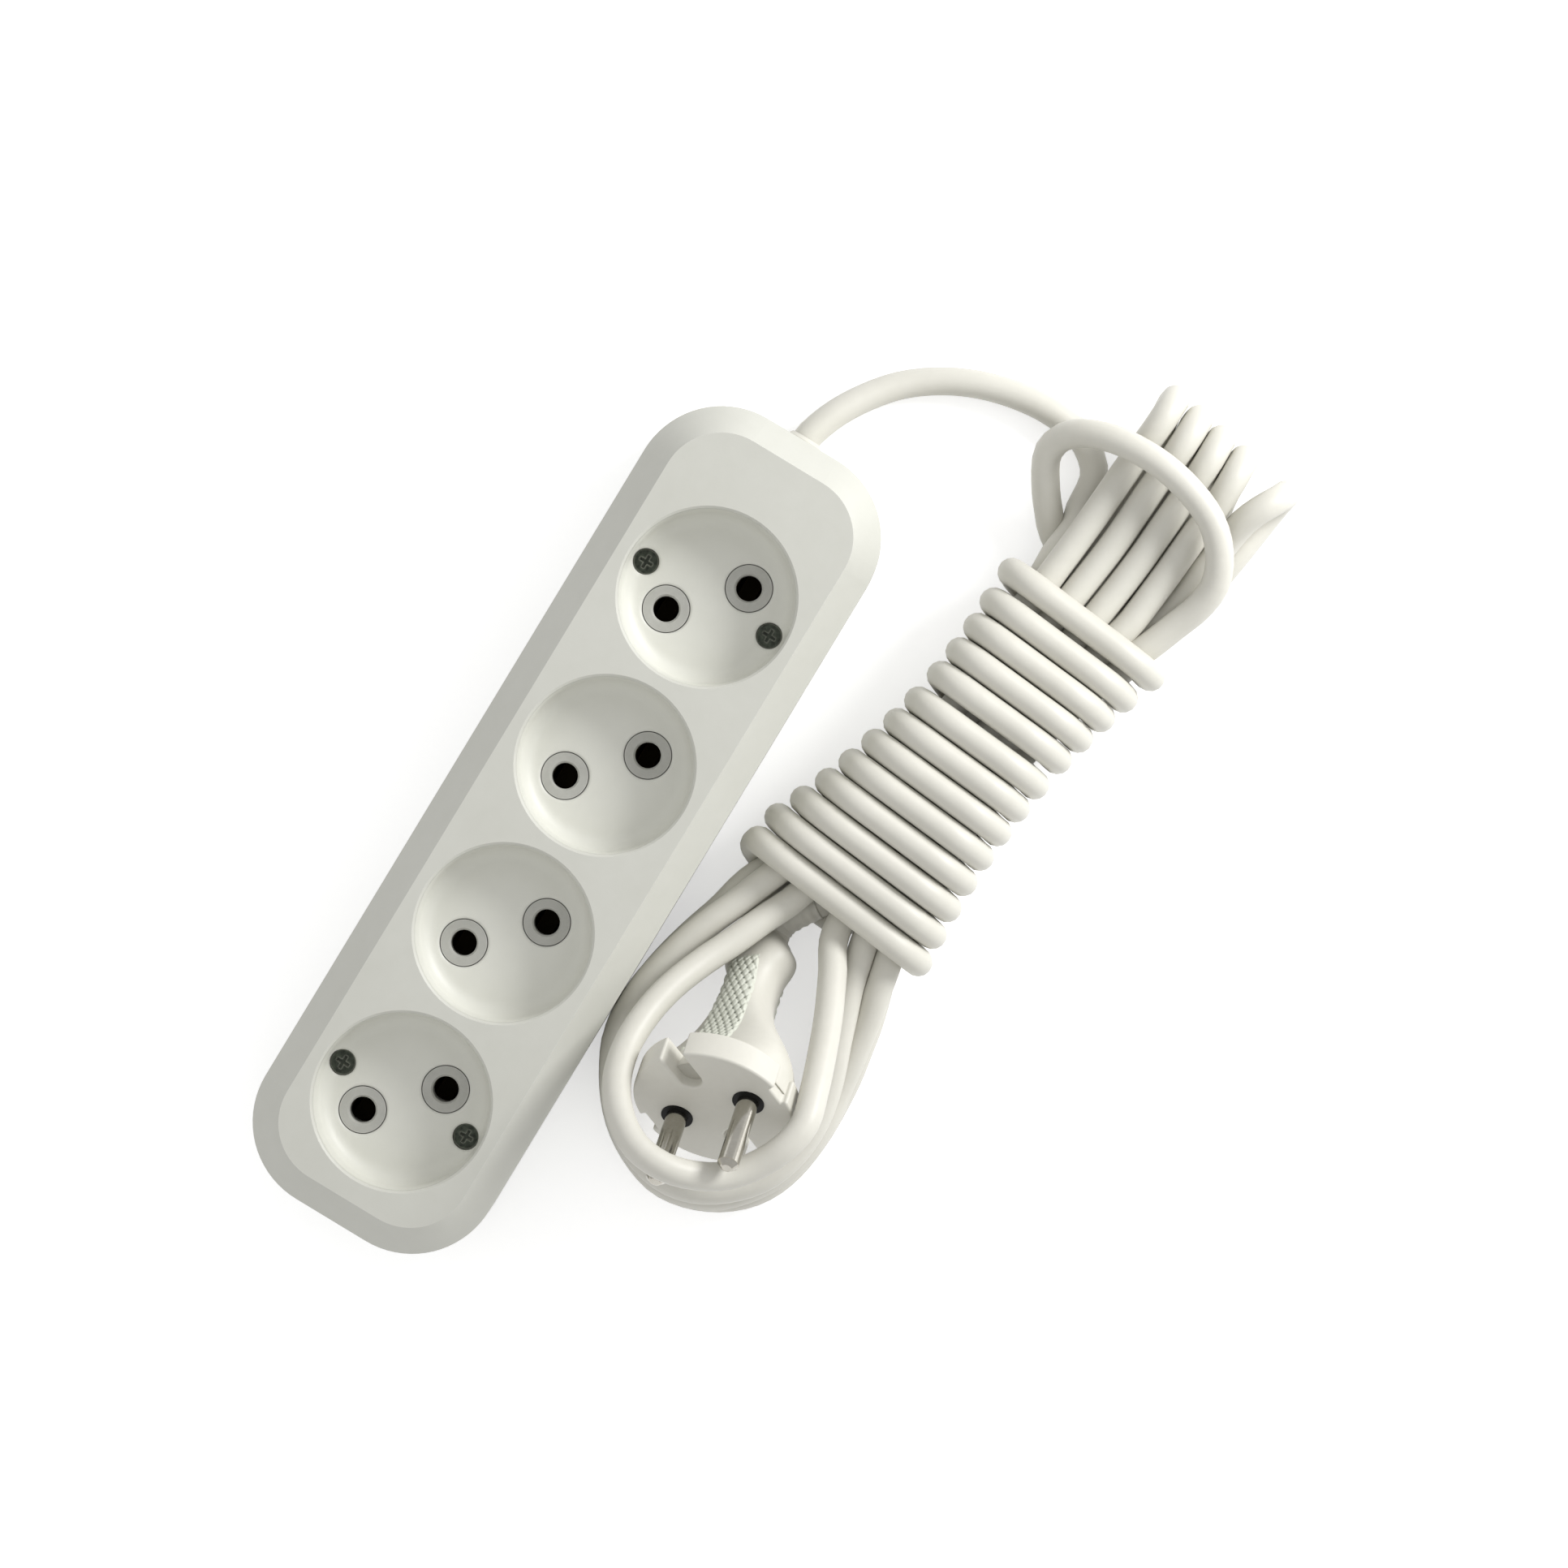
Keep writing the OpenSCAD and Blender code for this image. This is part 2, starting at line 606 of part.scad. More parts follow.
// Outer shape of the hank: wound middle, folded end and the ring of lower loops
module cord_hank() {
    xs = [for (i = [0 : 8]) -wrap_half_l + i * wrap_half_l / 4];
    side = [for (x = xs) [x, wrap_half(x)]];
    color("#d9d7cc") in_hank() {
        linear_extrude(wrap_h) polygon(concat(side,
            [for (i = [8 : -1 : 0]) [side[i][0], -side[i][1]]]));
        linear_extrude(fold_h) hank_folds();
        linear_extrude(loop_h) hank_loops();
    }
}

// Outline of the folded end, with its round corners
module hank_folds() {
    half = 19.5;
    end = 96.5;
    r = 6;
    translate([wrap_half_l - 3, -half]) square([end - r - wrap_half_l + 3, 2 * half]);
    translate([end - r - 1, r - half]) square([r + 1, 2 * half - 2 * r]);
    for (s = [-1, 1]) translate([end - r, s * (half - r)]) circle(r);
}

// Outline of the lower loops: a ring, open where the plug stands
module hank_loops() {
    difference() {
        hull() {
            translate([-89.5, -8]) circle(26.5);
            translate([-84, -11]) circle(25);
            translate([-82, 16]) circle(6);
            translate([-wrap_half_l + 1, -20.5]) square([2, 40]);
        }
        hull() {
            translate([-89.5, -5]) circle(18.5);
            translate([-66, 1.8]) circle(11.8);
            translate([-54, 3]) circle(4.5);
        }
    }
}

top_cover();
base_tray();
socket_cup(socket_x[0], true);  // socket_cup_1
socket_cup(socket_x[1], false);  // socket_cup_2
socket_cup(socket_x[2], false);  // socket_cup_3
socket_cup(socket_x[3], true);  // socket_cup_4
contact_carrier(socket_x[0]);  // contact_carrier_1
contact_carrier(socket_x[1]);  // contact_carrier_2
contact_carrier(socket_x[2]);  // contact_carrier_3
contact_carrier(socket_x[3]);  // contact_carrier_4
busbar(-1);  // busbar_line
busbar(1);  // busbar_neutral
core(-1, "#7a4a2a");  // core_line
core(1, "#2a5c9a");  // core_neutral
cover_screws();
cord_clamp();
clamp_screws();
cord_gland();
plug_body();
plug_bridge();
plug_pin(1);  // plug_pin_line
plug_pin(-1);  // plug_pin_neutral
plug_relief();
cord_lead();
cord_neck();
cord_bight();
cord_hank();
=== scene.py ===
# %% [markdown]
# # A four-way socket strip with its cord wound into a hank
# This lesson dresses a finished construction model in Blender. Hard pieces
# whose shape is already right only get a finish. Soft or hand-made pieces,
# such as the cord and the moulded plug, are made here in their place.
# Everything is in metres, with the origin under the middle of the housing.

# %% Load the frame
import math
import bpy
import numpy as np
from mathutils import Matrix, Vector


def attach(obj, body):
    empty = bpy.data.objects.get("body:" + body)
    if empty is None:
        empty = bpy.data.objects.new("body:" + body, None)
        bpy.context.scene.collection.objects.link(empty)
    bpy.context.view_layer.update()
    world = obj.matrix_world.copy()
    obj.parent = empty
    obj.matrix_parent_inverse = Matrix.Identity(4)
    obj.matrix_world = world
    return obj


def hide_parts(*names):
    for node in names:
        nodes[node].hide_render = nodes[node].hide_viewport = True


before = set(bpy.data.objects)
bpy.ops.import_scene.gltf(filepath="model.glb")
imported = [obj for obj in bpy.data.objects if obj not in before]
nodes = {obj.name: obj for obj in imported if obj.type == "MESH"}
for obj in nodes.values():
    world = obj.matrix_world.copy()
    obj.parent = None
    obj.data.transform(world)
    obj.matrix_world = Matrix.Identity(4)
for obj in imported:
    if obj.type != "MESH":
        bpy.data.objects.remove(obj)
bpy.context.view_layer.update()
MM = 0.001

# %% [markdown]
# ## The camera
# The strip is looked at from straight above, a metre and a half up, with a
# long lens, so its sides hardly show. The picture's upward direction isn't an
# axis of the model, because the strip lies slantwise in it. The camera is
# therefore turned about the vertical by the angle of that direction. A
# tracking constraint would do it too, but one rotation is easier to read.

# %% Camera
CAMERA_AT = (0.03365, -0.0359, 1.5)
UP_X, UP_Y = 0.8554, 0.5180
SENSOR_MM, LENS_MM = 36, 152.4
camera = bpy.data.objects.new("camera", bpy.data.cameras.new("camera"))
camera.location = CAMERA_AT
camera.rotation_euler = (0, 0, math.atan2(-UP_X, UP_Y))
camera.data.sensor_width = SENSOR_MM
camera.data.lens = LENS_MM
bpy.context.scene.collection.objects.link(camera)
bpy.context.scene.camera = camera
print("camera turned by", round(math.degrees(camera.rotation_euler.z), 1), "degrees")

# %% [markdown]
# ## The cord's route
# The cord is about 3.9 m of round two-core cable. Whoever put it away laid it
# to and fro, with five folds at one end and four loops at the other, wound
# thirteen turns round the middle, carried the rest over the folds and pushed
# it back under the turns. One smooth curve can be all of this. It is written
# here as short lists of guide points in the hank's own frame, with +x towards
# the folds, and in millimetres, because a hand-wound bundle is easiest to
# think of that way. Dropping a rope in a physics simulation would be slow and
# would never match the look of this hank.

# %% The hank's frame and the lead
CORD_D = 6.5
CORD_R = CORD_D / 2
HANK_AT = (57.85, -67.0)
HANK_TURN = math.radians(-10)
lead_row = [(83.5, 0, 9), (92.5, 0, 9), (101.1, 0, 9), (102.7, 0, 9), (109.8, -2.2, 7.8),
            (116.8, -6, 5.8), (123.8, -11.5, 4), (129.3, -18.5, 3.3), (133.3, -26.5, 3.3),
            (135.8, -35.5, 3.3), (136.6, -44, 3.3), (135.3, -52.5, 3.3), (129.8, -59.5, 3.8),
            (120.8, -60.8, 5.5)]


def to_hank(p):
    """A point of the model's frame, in millimetres, in the hank's frame."""
    dx, dy = p[0] - HANK_AT[0], p[1] - HANK_AT[1]
    c, s = math.cos(HANK_TURN), math.sin(HANK_TURN)
    return (dx * c + dy * s, dy * c - dx * s, p[2])


def to_model(points):
    """Points of the hank's frame, in the model's frame."""
    c, s = math.cos(HANK_TURN), math.sin(HANK_TURN)
    return np.column_stack([HANK_AT[0] + points[:, 0] * c - points[:, 1] * s,
                            HANK_AT[1] + points[:, 0] * s + points[:, 1] * c, points[:, 2]])


print("the lead ends at", [round(v) for v in to_hank(lead_row[-1])], "in the hank's frame")

# %% [markdown]
# ## The thirteen turns
# Each turn is a rounded rectangle that leans a little, because the cord moves
# on by its own thickness every time round. The bundle inside is squeezed
# most near the middle, so the turns are narrow there and wider at both ends,
# and the middle stands a little higher, where the runs ride on each other.

# %% Where the turns lie, and how wide and high they are
TURNS = 13
FIRST_TURN_X, TURN_STEP, WIDE_GAP = 41.4, 6.708, 0.9
NARROW_X, NARROW_HALF = 7, 19
UPPER_SPAN, UPPER_FLARE = 34.4, 3.7
LOWER_SPAN, LOWER_FLARE = 47.9, 6.7
END_TOP, MIDDLE_RISE, RISE_SPAN = 22.75, 4.6, 41.0


def turn_x(k):
    """Where turn k crosses the middle; the gaps after turns 1 and 5 are wider."""
    return FIRST_TURN_X - TURN_STEP * (k - 1) - WIDE_GAP * (k > 1) - WIDE_GAP * (k > 5)


def outer_half(x):
    """Half the wound part's width at x."""
    span, flare = (UPPER_SPAN, UPPER_FLARE) if x > NARROW_X else (LOWER_SPAN, LOWER_FLARE)
    t = (x - NARROW_X) / span
    return NARROW_HALF + flare * t * t


def turn_top(x):
    """Height of a turn's centreline over the front of the bundle."""
    return END_TOP + MIDDLE_RISE * max(0.0, 1 - (x / RISE_SPAN) ** 2)


print("first turn at", turn_x(1), "last at", round(turn_x(TURNS), 1), "mm")

# %% One turn
TURN_CORNER, LEAN, FIRST_STEP_ON = 8.0, 1.45, 6.7
CORNER_POINTS, FLAT_PARTS = 4, 5
FRONT_POINTS = 2 * CORNER_POINTS + FLAT_PARTS - 1


def turn_section(w, top):
    """The turn seen along the hank: a rounded rectangle from (w, top) over the front and back below."""
    inner, low = w - TURN_CORNER, CORD_R + TURN_CORNER
    section = []
    for cy, cz, start in ((inner, top - TURN_CORNER, 0), (-inner, top - TURN_CORNER, 90),
                          (-inner, low, 180), (inner, low, 270)):
        for i in range(CORNER_POINTS):
            a = math.radians(start + 90 * i / (CORNER_POINTS - 1))
            section.append((cy + TURN_CORNER * math.cos(a), cz + TURN_CORNER * math.sin(a)))
        if start in (0, 180):
            z = top if start == 0 else CORD_R
            section += [(cy * (1 - 2 * j / FLAT_PARTS), z) for j in range(1, FLAT_PARTS)]
    return section


def turn(k):
    """One turn from its left side over the front to the right, and back below to the next turn."""
    x = turn_x(k)
    step_on = turn_x(k - 1) - x if k > 1 else FIRST_STEP_ON
    w = outer_half(x) - CORD_R
    points = []
    for i, (y, z) in enumerate(turn_section(w, turn_top(x))):
        if i < FRONT_POINTS:
            points.append((x - LEAN * y / w, y, z))
        else:
            points.append((x + LEAN + (step_on - 2 * LEAN) * (y + w) / (2 * w), y, z))
    return points


print("points in a turn:", len(turn(1)))

# %% [markdown]
# ## The runs under the turns, and the folds
# Eleven strands run under the turns in two or three layers. One turns back
# inside, and the last one leads to the plug. They aren't seen there, so each
# is only led from its place at one end to its place at the other. At the
# folded end five bends stand side by side, each turning down and back below
# itself, and a bend bulges because a cord doesn't like to be folded.

# %% Runs under the turns
RUN_X = (45, 26, 7, -12, -30, -46)
OPEN_TOP_X, OPEN_LOW_X = 45, -44
UPPER_LAYER_Z, RIDE_UP, RIDE_SPAN = 13, 3.0, 42


def run(top, bottom, down=True):
    """From (y, z) at the folded end to (y, z) at the loops, squeezed on the way."""
    points = []
    for x in RUN_X:
        t = (RUN_X[0] - x) / (RUN_X[0] - RUN_X[-1])
        squeeze = (outer_half(x) - CORD_D) / (outer_half(OPEN_TOP_X if x > 0 else OPEN_LOW_X) - CORD_D)
        y = (top[0] + (bottom[0] - top[0]) * t) * squeeze
        z = top[1] + (bottom[1] - top[1]) * t
        if z > UPPER_LAYER_Z:
            z += RIDE_UP * max(0.0, 1 - (x / RIDE_SPAN) ** 2)
        points.append((x, y, z))
    return points if down else points[::-1]


print("a run's places along the hank:", RUN_X)

# %% Folds: x, height, and how far the lower leg's side is still that of the tip
UPPER_LEG_X, UPPER_LEG_POINTS = (45, 60, 76, 84, 93), 7
SINK_FROM_X, SINK_SPAN = 84, 24
fold_profile = [(60, 16.25, 0), (68, 16.2, 0), (76, 16.3, 0), (82, 18.1, 0), (87, 19.3, 0),
                (91.2, 18.0, 0), (93.6, 13.6, 1), (92, 8.9, 1), (87.5, 6.6, .8), (82, 7.3, .55),
                (76, 9.0, .3), (68, 9.7, .1), (60, 9.75, 0)]


def fold(upper, lower, down=True, sink=(0, 0)):
    """One bend of the folded end: y of its upper leg at five places, and of its lower leg.

    sink lowers the inner ends of both legs, where another strand lies on them.
    """
    points = []
    for i, (x, z, t) in enumerate(fold_profile):
        inner = max(0.0, (SINK_FROM_X - x) / SINK_SPAN)
        if i < UPPER_LEG_POINTS:
            y = float(np.interp(x, UPPER_LEG_X, upper))
            z -= sink[0] * inner
        else:
            y = lower + (upper[-1] - lower) * t
            z -= sink[1] * inner
        points.append((x, y, z))
    return points if down else points[::-1]


fold_a, fold_b = (12.2, 13.5, 15.3, 15.9, 17.2), (5.4, 6.3, 8.2, 8.9, 10.3)
fold_c, fold_d = (-1.4, -0.6, 1.1, 1.9, 3.6), (-8.3, -7.4, -5.8, -5.0, -3.2)
fold_e = (-12.9, -13.2, -12.4, -12.2, -15.4)
print("points in a run:", len(RUN_X), "in a fold:", len(fold_profile))

# %% [markdown]
# ## The lower loops and the loop over the folds
# Four loops leave the wound part at its lower end. Three lie on each other,
# and the top one rises over the plug, passes over one pin and under the
# other, and comes back. The loop over the folded end holds the bundle
# together: it comes up from below on the left, crosses the folds and dives
# under the turns on the right.

# %% Loops
left_stack = [(-56, 17.6), (-65, 19.4), (-74, 20.3), (-83, 20.3), (-90.5, 19.2)]
loop_1 = [(-52, 16.1), (-59.6, 17.9), (-68.5, 19.6), (-76.8, 20.3), (-84.5, 20.3), (-91.2, 19.4),
          (-97.1, 17), (-102, 13.2), (-105.9, 9.5), (-109.9, 4.5), (-112.3, -1), (-113.5, -7.3),
          (-112.8, -13.9), (-109.1, -20.4), (-102.9, -25.8), (-96.7, -28.8), (-88.3, -29.6),
          (-81, -28.5), (-75.2, -26.3), (-69.5, -23.5), (-64.6, -20.7), (-59.4, -18.2),
          (-54.5, -15.6), (-50.3, -13.3)]
loop_2 = left_stack + [
    (-97.9, 16.7), (-102.9, 12.6), (-108, 7.4), (-111.6, 1.8), (-113.9, -3.9), (-114.9, -8.8),
    (-114.6, -12.5), (-112.9, -17.5), (-109.4, -22.9), (-104.9, -26.3), (-99.3, -29.1),
    (-93.1, -30.9), (-85.6, -31.2), (-79.1, -30.1), (-72.8, -27.9), (-67.3, -26.1), (-61, -23.6),
    (-55.8, -21.5), (-50.9, -19.4)]
loop_3 = left_stack + [
    (-97.6, 17.2), (-101.6, 14.3), (-105.9, 10.6), (-110.4, 5.2), (-113.1, 0), (-114.6, -5),
    (-115.4, -10.5), (-114.5, -15.1), (-112.1, -20.3), (-108.4, -25.1), (-103.7, -28.8),
    (-99.1, -30.8), (-93.9, -31.7), (-87.2, -31.6), (-81, -30.8), (-75.1, -29.5), (-69.4, -28),
    (-63.2, -25.7), (-57.6, -23.7), (-52.3, -21.2)]
over_plug = [(-54, 9.7, 18), (-63, 11.8, 20.5), (-71, 14, 23.5), (-80, 15.7, 28), (-89, 15.7, 33),
             (-97, 14, 38.5), (-103.5, 10.3, 44.5), (-108, 4.5, 49.5), (-110, -2, 53),
             (-109.2, -9, 53.6), (-106.3, -15.3, 51.3), (-102, -20.5, 48.2), (-96, -24, 47.3),
             (-89, -26, 48), (-82.5, -26.1, 46.9), (-76, -23.2, 42.5), (-69, -19.4, 36.5),
             (-61.5, -14.9, 29.8), (-54, -9.6, 23)]
over_folds = [(49, 8, 3.6), (54, 19, 6.0), (60.5, 27, 10.5), (66, 31, 14.5), (71.5, 29.8, 18.8),
              (76.3, 23, 23), (79, 13, 25.6), (79.3, 3, 26), (77.3, -6.5, 25.4), (73.2, -12.6, 24),
              (67.5, -16.6, 21.8), (61.5, -17.2, 19.6), (55, -16.1, 17.6), (48.5, -14.8, 16.4),
              (42.5, -13.4, 16)]


def level(plan, first, middle, last, ramp=4):
    """A loop's plan at one height, with ramps of a few points from the heights of its two ends."""
    z = [middle] * len(plan)
    for i in range(ramp):
        z[i] = first + (middle - first) * i / ramp
        z[-1 - i] = last + (middle - last) * i / ramp
    return [(x, y, h) for (x, y), h in zip(plan, z)]


print("points in the lower loops and over the plug:", len(loop_1), len(loop_2), len(loop_3), len(over_plug))

# %% [markdown]
# ## Put the stretches in order
# Each stretch has a grip between 0 and 1. It says how firmly the guide points
# hold the cord in the next step: the turns and the loops that are seen keep
# their place, and the hidden runs may move. A list gives each point its own.

# %% How firmly the points are held
FOLD_GRIP = [0.9] * UPPER_LEG_POINTS + [0.5] * (len(fold_profile) - UPPER_LEG_POINTS)
RUN_GRIP = [0.9, 0.15, 0.03, 0.03, 0.03, 0.3]
SHORT_GRIP = [0.03] * 3 + [0.3, 0.5, 0.6, 0.6, 0.5, 0.3] + [0.03] * 3
BURIED, LOOSE, LOOP_GRIP, SEEN, FIXED = 0.03, 0.2, 0.5, 0.9, 0.95
print("grips from", min(RUN_GRIP), "to", FIXED)

# %% The strands that join the others
short_loop = [(45, -9.75, 9.75), (26, -10.2, 9.75), (7, -11, 9.75), (-10, -12, 9.75),
              (-20, -12.2, 9.75), (-26.2, -10.6, 9.75), (-27.6, -7, 9.75), (-24, -3.2, 9.75),
              (-15, -2.4, 9.75), (7, -3.6, 9.75), (26, -3.7, 9.75), (45, -3.25, 9.75)]
last_run = [(45, 3.25, 9.75), (26, 3.6, 9.75), (7, 2.6, 9.75), (-12, 2.8, 9.75), (-26, 0.5, 9.75),
            (-32, -3.8, 9.75)]
round_left = [(-37, -6.8, 9.2), (-42, -6.3, 7.8), (-46.2, -3, 5.2), (-47.6, 3, 3.4),
              (-47, 10, 3.25), (-46, 16, 3.25)]
under_right = [(36, -12, 16.2), (26, -10.5, 17.4), (15, -9.2, 18.2), (5, -7.5, 18), (-5, -5, 16.5),
               (-15, -3, 15), (-25, -1, 13), (-33, 0.2, 11)]
to_plug = [(-40.5, 1.2, 9.6), (-44.5, 2.9, 9), (-48.6, 5, 8.2), (-52.8, 6.6, 7.2)]
print("strands:", [len(s) for s in (short_loop, last_run, round_left, under_right, to_plug)])

# %% The whole route, in order
stretches = [
    ("lead", SEEN, [to_hank(p) for p in lead_row]),
    ("free", 0.6, [(55, 15.2, 8.6), (50, 14.4, 9.6)]),
    ("run", RUN_GRIP, run((13.7, 10.1), (15.7, 9.75))),
    ("loop", LOOP_GRIP, level(loop_2, 9.75, 9.75, 15.5)),
    ("run", RUN_GRIP[::-1], run((-12.4, 11.2), (-17.3, 16.25), False)),
    ("fold", FOLD_GRIP, fold(fold_e, -16.4, sink=(4.2, 3.6))),
    ("run", BURIED, run((-16.6, 8.0), (-17.3, 9.0))),
    ("loop", LOOP_GRIP, level(loop_3[::-1], 7, CORD_R, 7.5)),
    ("run", BURIED, run((9.75, 9.75), (9.3, 9.75), False)),
    ("fold", FOLD_GRIP[::-1], fold(fold_a, 9.6, False)),
    ("run", RUN_GRIP, run((12.2, 16.25), (14.7, 16.25))),
    ("loop", LOOP_GRIP, level(loop_1, 16.2, 16.2, 16.2)),
    ("run", RUN_GRIP[::-1], run((-8.3, 16.25), (-11.4, 16.25), False)),
    ("fold", FOLD_GRIP, fold(fold_d, -9.6, sink=(0, 0.8))),
    ("run", SHORT_GRIP, short_loop),
    ("fold", FOLD_GRIP[::-1], fold(fold_c, -3.2, False)),
    ("run", RUN_GRIP, run((-1.4, 16.25), (-3.6, 16.8))),
    ("bight", FIXED, over_plug[::-1]),
    ("run", RUN_GRIP[::-1], run((5.4, 16.25), (7.3, 16.3), False)),
    ("fold", FOLD_GRIP, fold(fold_b, 3.2)),
    ("run", BURIED, last_run),
    ("free", LOOSE, round_left),
    ("turns", 0.5, [(-44.8, 20.4, 5.2), (-44, 22.4, 9.5)]),
]
stretches += [("turns", SEEN, turn(k)) for k in range(TURNS, 1, -1)]
stretches += [
    ("turns", SEEN, turn(1)[:FRONT_POINTS + 2]),
    ("turns", 0.5, [(43.9, -13, 3.4), (45.8, -4, 3.3)]),
    ("neck", SEEN, over_folds),
    ("run", 0.05, under_right),
    ("tail", FIXED, to_plug),
]
print("stretches:", len(stretches), "guide points:", sum(len(s[2]) for s in stretches))

# %% [markdown]
# ## Let the cord settle
# Guide points alone would let the hidden runs pass through each other. So the
# route is drawn as a fine chain of points and relaxed: neighbours keep their
# distance, bends and kinks straighten, strands closer than one thickness push
# each other apart, and nothing leaves the space inside the turns. It is a
# small rope solver in NumPy. It has no randomness, so it gives the same
# cord every time.

# %% A smooth line through guide points
def smooth_line(points, per=8):
    """A centripetal Catmull-Rom curve, and each of its points' place among the guide points."""
    p = np.asarray(points, float)
    q = np.vstack([2 * p[0] - p[1], p, 2 * p[-1] - p[-2]])
    line, place = [], []
    for i in range(1, len(q) - 2):
        p0, p1, p2, p3 = q[i - 1:i + 3]
        t0 = 0.0
        t1 = t0 + max(np.linalg.norm(p1 - p0), 1e-6) ** 0.5
        t2 = t1 + max(np.linalg.norm(p2 - p1), 1e-6) ** 0.5
        t3 = t2 + max(np.linalg.norm(p3 - p2), 1e-6) ** 0.5
        for j in range(per):
            t = t1 + (t2 - t1) * j / per
            a1 = (t1 - t) / (t1 - t0) * p0 + (t - t0) / (t1 - t0) * p1
            a2 = (t2 - t) / (t2 - t1) * p1 + (t - t1) / (t2 - t1) * p2
            a3 = (t3 - t) / (t3 - t2) * p2 + (t - t2) / (t3 - t2) * p3
            b1 = (t2 - t) / (t2 - t0) * a1 + (t - t0) / (t2 - t0) * a2
            b2 = (t3 - t) / (t3 - t1) * a2 + (t - t1) / (t3 - t1) * a3
            line.append((t2 - t) / (t2 - t1) * b1 + (t - t1) / (t2 - t1) * b2)
            place.append(i - 1 + j / per)
    line.append(q[-2])
    place.append(len(p) - 1)
    return np.array(line), np.array(place)


print("one stretch of a line has", len(smooth_line([(0, 0, 0), (1, 0, 0)])[0]), "points")

# %% An even chain along the whole route
STEP = 2.6
guide = np.vstack([points for _, _, points in stretches])
guide_grip = np.concatenate([grips if isinstance(grips, list) else [grips] * len(points)
                             for _, grips, points in stretches])
guide_kind = np.concatenate([[name] * len(points) for name, _, points in stretches])
line, place = smooth_line(guide)
along = np.r_[0, np.cumsum(np.linalg.norm(np.diff(line, axis=0), axis=1))]
even = np.linspace(0, along[-1], int(round(along[-1] / STEP)) + 1)
chain = np.column_stack([np.interp(even, along, line[:, i]) for i in range(3)])
held = np.interp(even, along, np.interp(place, np.arange(len(guide_grip)), guide_grip))
kind = guide_kind[place.astype(int)][np.clip(np.searchsorted(along, even), 0, len(place) - 1)]
rest = chain.copy()
free = (1 - held)[:, None]
print("points in the chain:", len(chain), "length:", round(along[-1]), "mm")

# %% Straighten the cord, and push its strands apart
APART = int(round(2 * CORD_D / STEP))
NEAR = 11.0
STIFFNESS, LEAST_SHARE = 0.25, 0.02


def close_pairs(chain):
    """Indices of points that are near each other but aren't neighbours along the cord."""
    square = ((chain[:, None, :] - chain[None, :, :]) ** 2).sum(2)
    a, b = np.where(square < NEAR ** 2)
    keep = b - a > APART
    return a[keep], b[keep]


def bow_of(chain):
    """How far each inner point is from the middle of its two neighbours."""
    return (chain[:-2] + chain[2:]) / 2 - chain[1:-1]


def straighten(chain):
    """Moves each point towards the middle of its neighbours."""
    chain[1:-1] += free[1:-1] * STIFFNESS * bow_of(chain)


def push_apart(chain, a, b):
    """Pushes strands closer than one thickness apart; the one that is held less moves more."""
    between = chain[a] - chain[b]
    distance = np.maximum(np.linalg.norm(between, axis=1), 1e-3)
    share_a, share_b = 1 + LEAST_SHARE - held[a], 1 + LEAST_SHARE - held[b]
    much = np.clip(CORD_D - distance, 0, None) / distance / (share_a + share_b) * 0.5
    push = much[:, None] * between
    moved = np.zeros_like(chain)
    np.add.at(moved, a, push * share_a[:, None])
    np.add.at(moved, b, -push * share_b[:, None])
    chain += moved


print("pairs of points that start closer than", NEAR, "mm:", len(close_pairs(chain)[0]))

# %% Hold the guides and the spacing, and open kinks
SHARPEST = math.radians(28)
KINK = STEP * math.sin(SHARPEST / 2)
HOLD, SPACING, OPENING = 0.5, 0.35, 0.8


def hold(chain):
    """Pulls the points towards their guides, and back to one step from each other."""
    chain += (held ** 2 * HOLD)[:, None] * (rest - chain)
    for _ in range(2):
        edge = chain[1:] - chain[:-1]
        size = np.linalg.norm(edge, axis=1)
        fix = ((size - STEP) / size * SPACING)[:, None] * edge
        chain[:-1] += fix * free[:-1]
        chain[1:] -= fix * free[1:]


def open_kinks(chain):
    """Opens bends sharper than SHARPEST at one point, outside the shaped folds."""
    bow = bow_of(chain)
    depth = np.maximum(np.linalg.norm(bow, axis=1), 1e-6)
    much = np.clip(depth - KINK, 0, None) / depth * np.where(kind[1:-1] == "fold", 0.0, OPENING)
    chain[1:-1] += much[:, None] * bow


print("a kink is a bow of more than", round(KINK, 2), "mm in one step")

# %% Keep the cord in the space that it has
BUNDLE_X, BUNDLE_HALF = 0.5, 38
STRIP_SIDE_Y, BACK_OFF = -32.3, 0.98


def keep_inside(chain):
    """Keeps the cord over the floor, the runs inside the turns, and the loops off the strip's side."""
    chain[:, 2] = np.maximum(chain[:, 2], CORD_R)
    inside = (kind == "run") & (np.abs(chain[:, 0] - BUNDLE_X) < BUNDLE_HALF)
    reach = np.array([outer_half(x) for x in chain[inside, 0]]) - CORD_D - CORD_R
    lid = np.array([turn_top(x) for x in chain[inside, 0]]) - CORD_D
    chain[inside, 1] = np.clip(chain[inside, 1], -reach, reach)
    chain[inside, 2] = np.clip(chain[inside, 2], 3 * CORD_R, lid)
    row_y = to_model(chain)[:, 1]
    too_near = (kind == "loop") & (row_y > STRIP_SIDE_Y)
    chain[:, 1] -= np.where(too_near, row_y - STRIP_SIDE_Y, 0) * BACK_OFF


print("points of runs under the turns:", int((kind == "run").sum()))

# %% Relax the chain
ROUNDS, REFRESH = 260, 8
for i in range(ROUNDS):
    if i % REFRESH == 0:
        near_a, near_b = close_pairs(chain)
    straighten(chain)
    push_apart(chain, near_a, near_b)
    hold(chain)
    open_kinks(chain)
    keep_inside(chain)
cord_line = to_model(chain) * MM

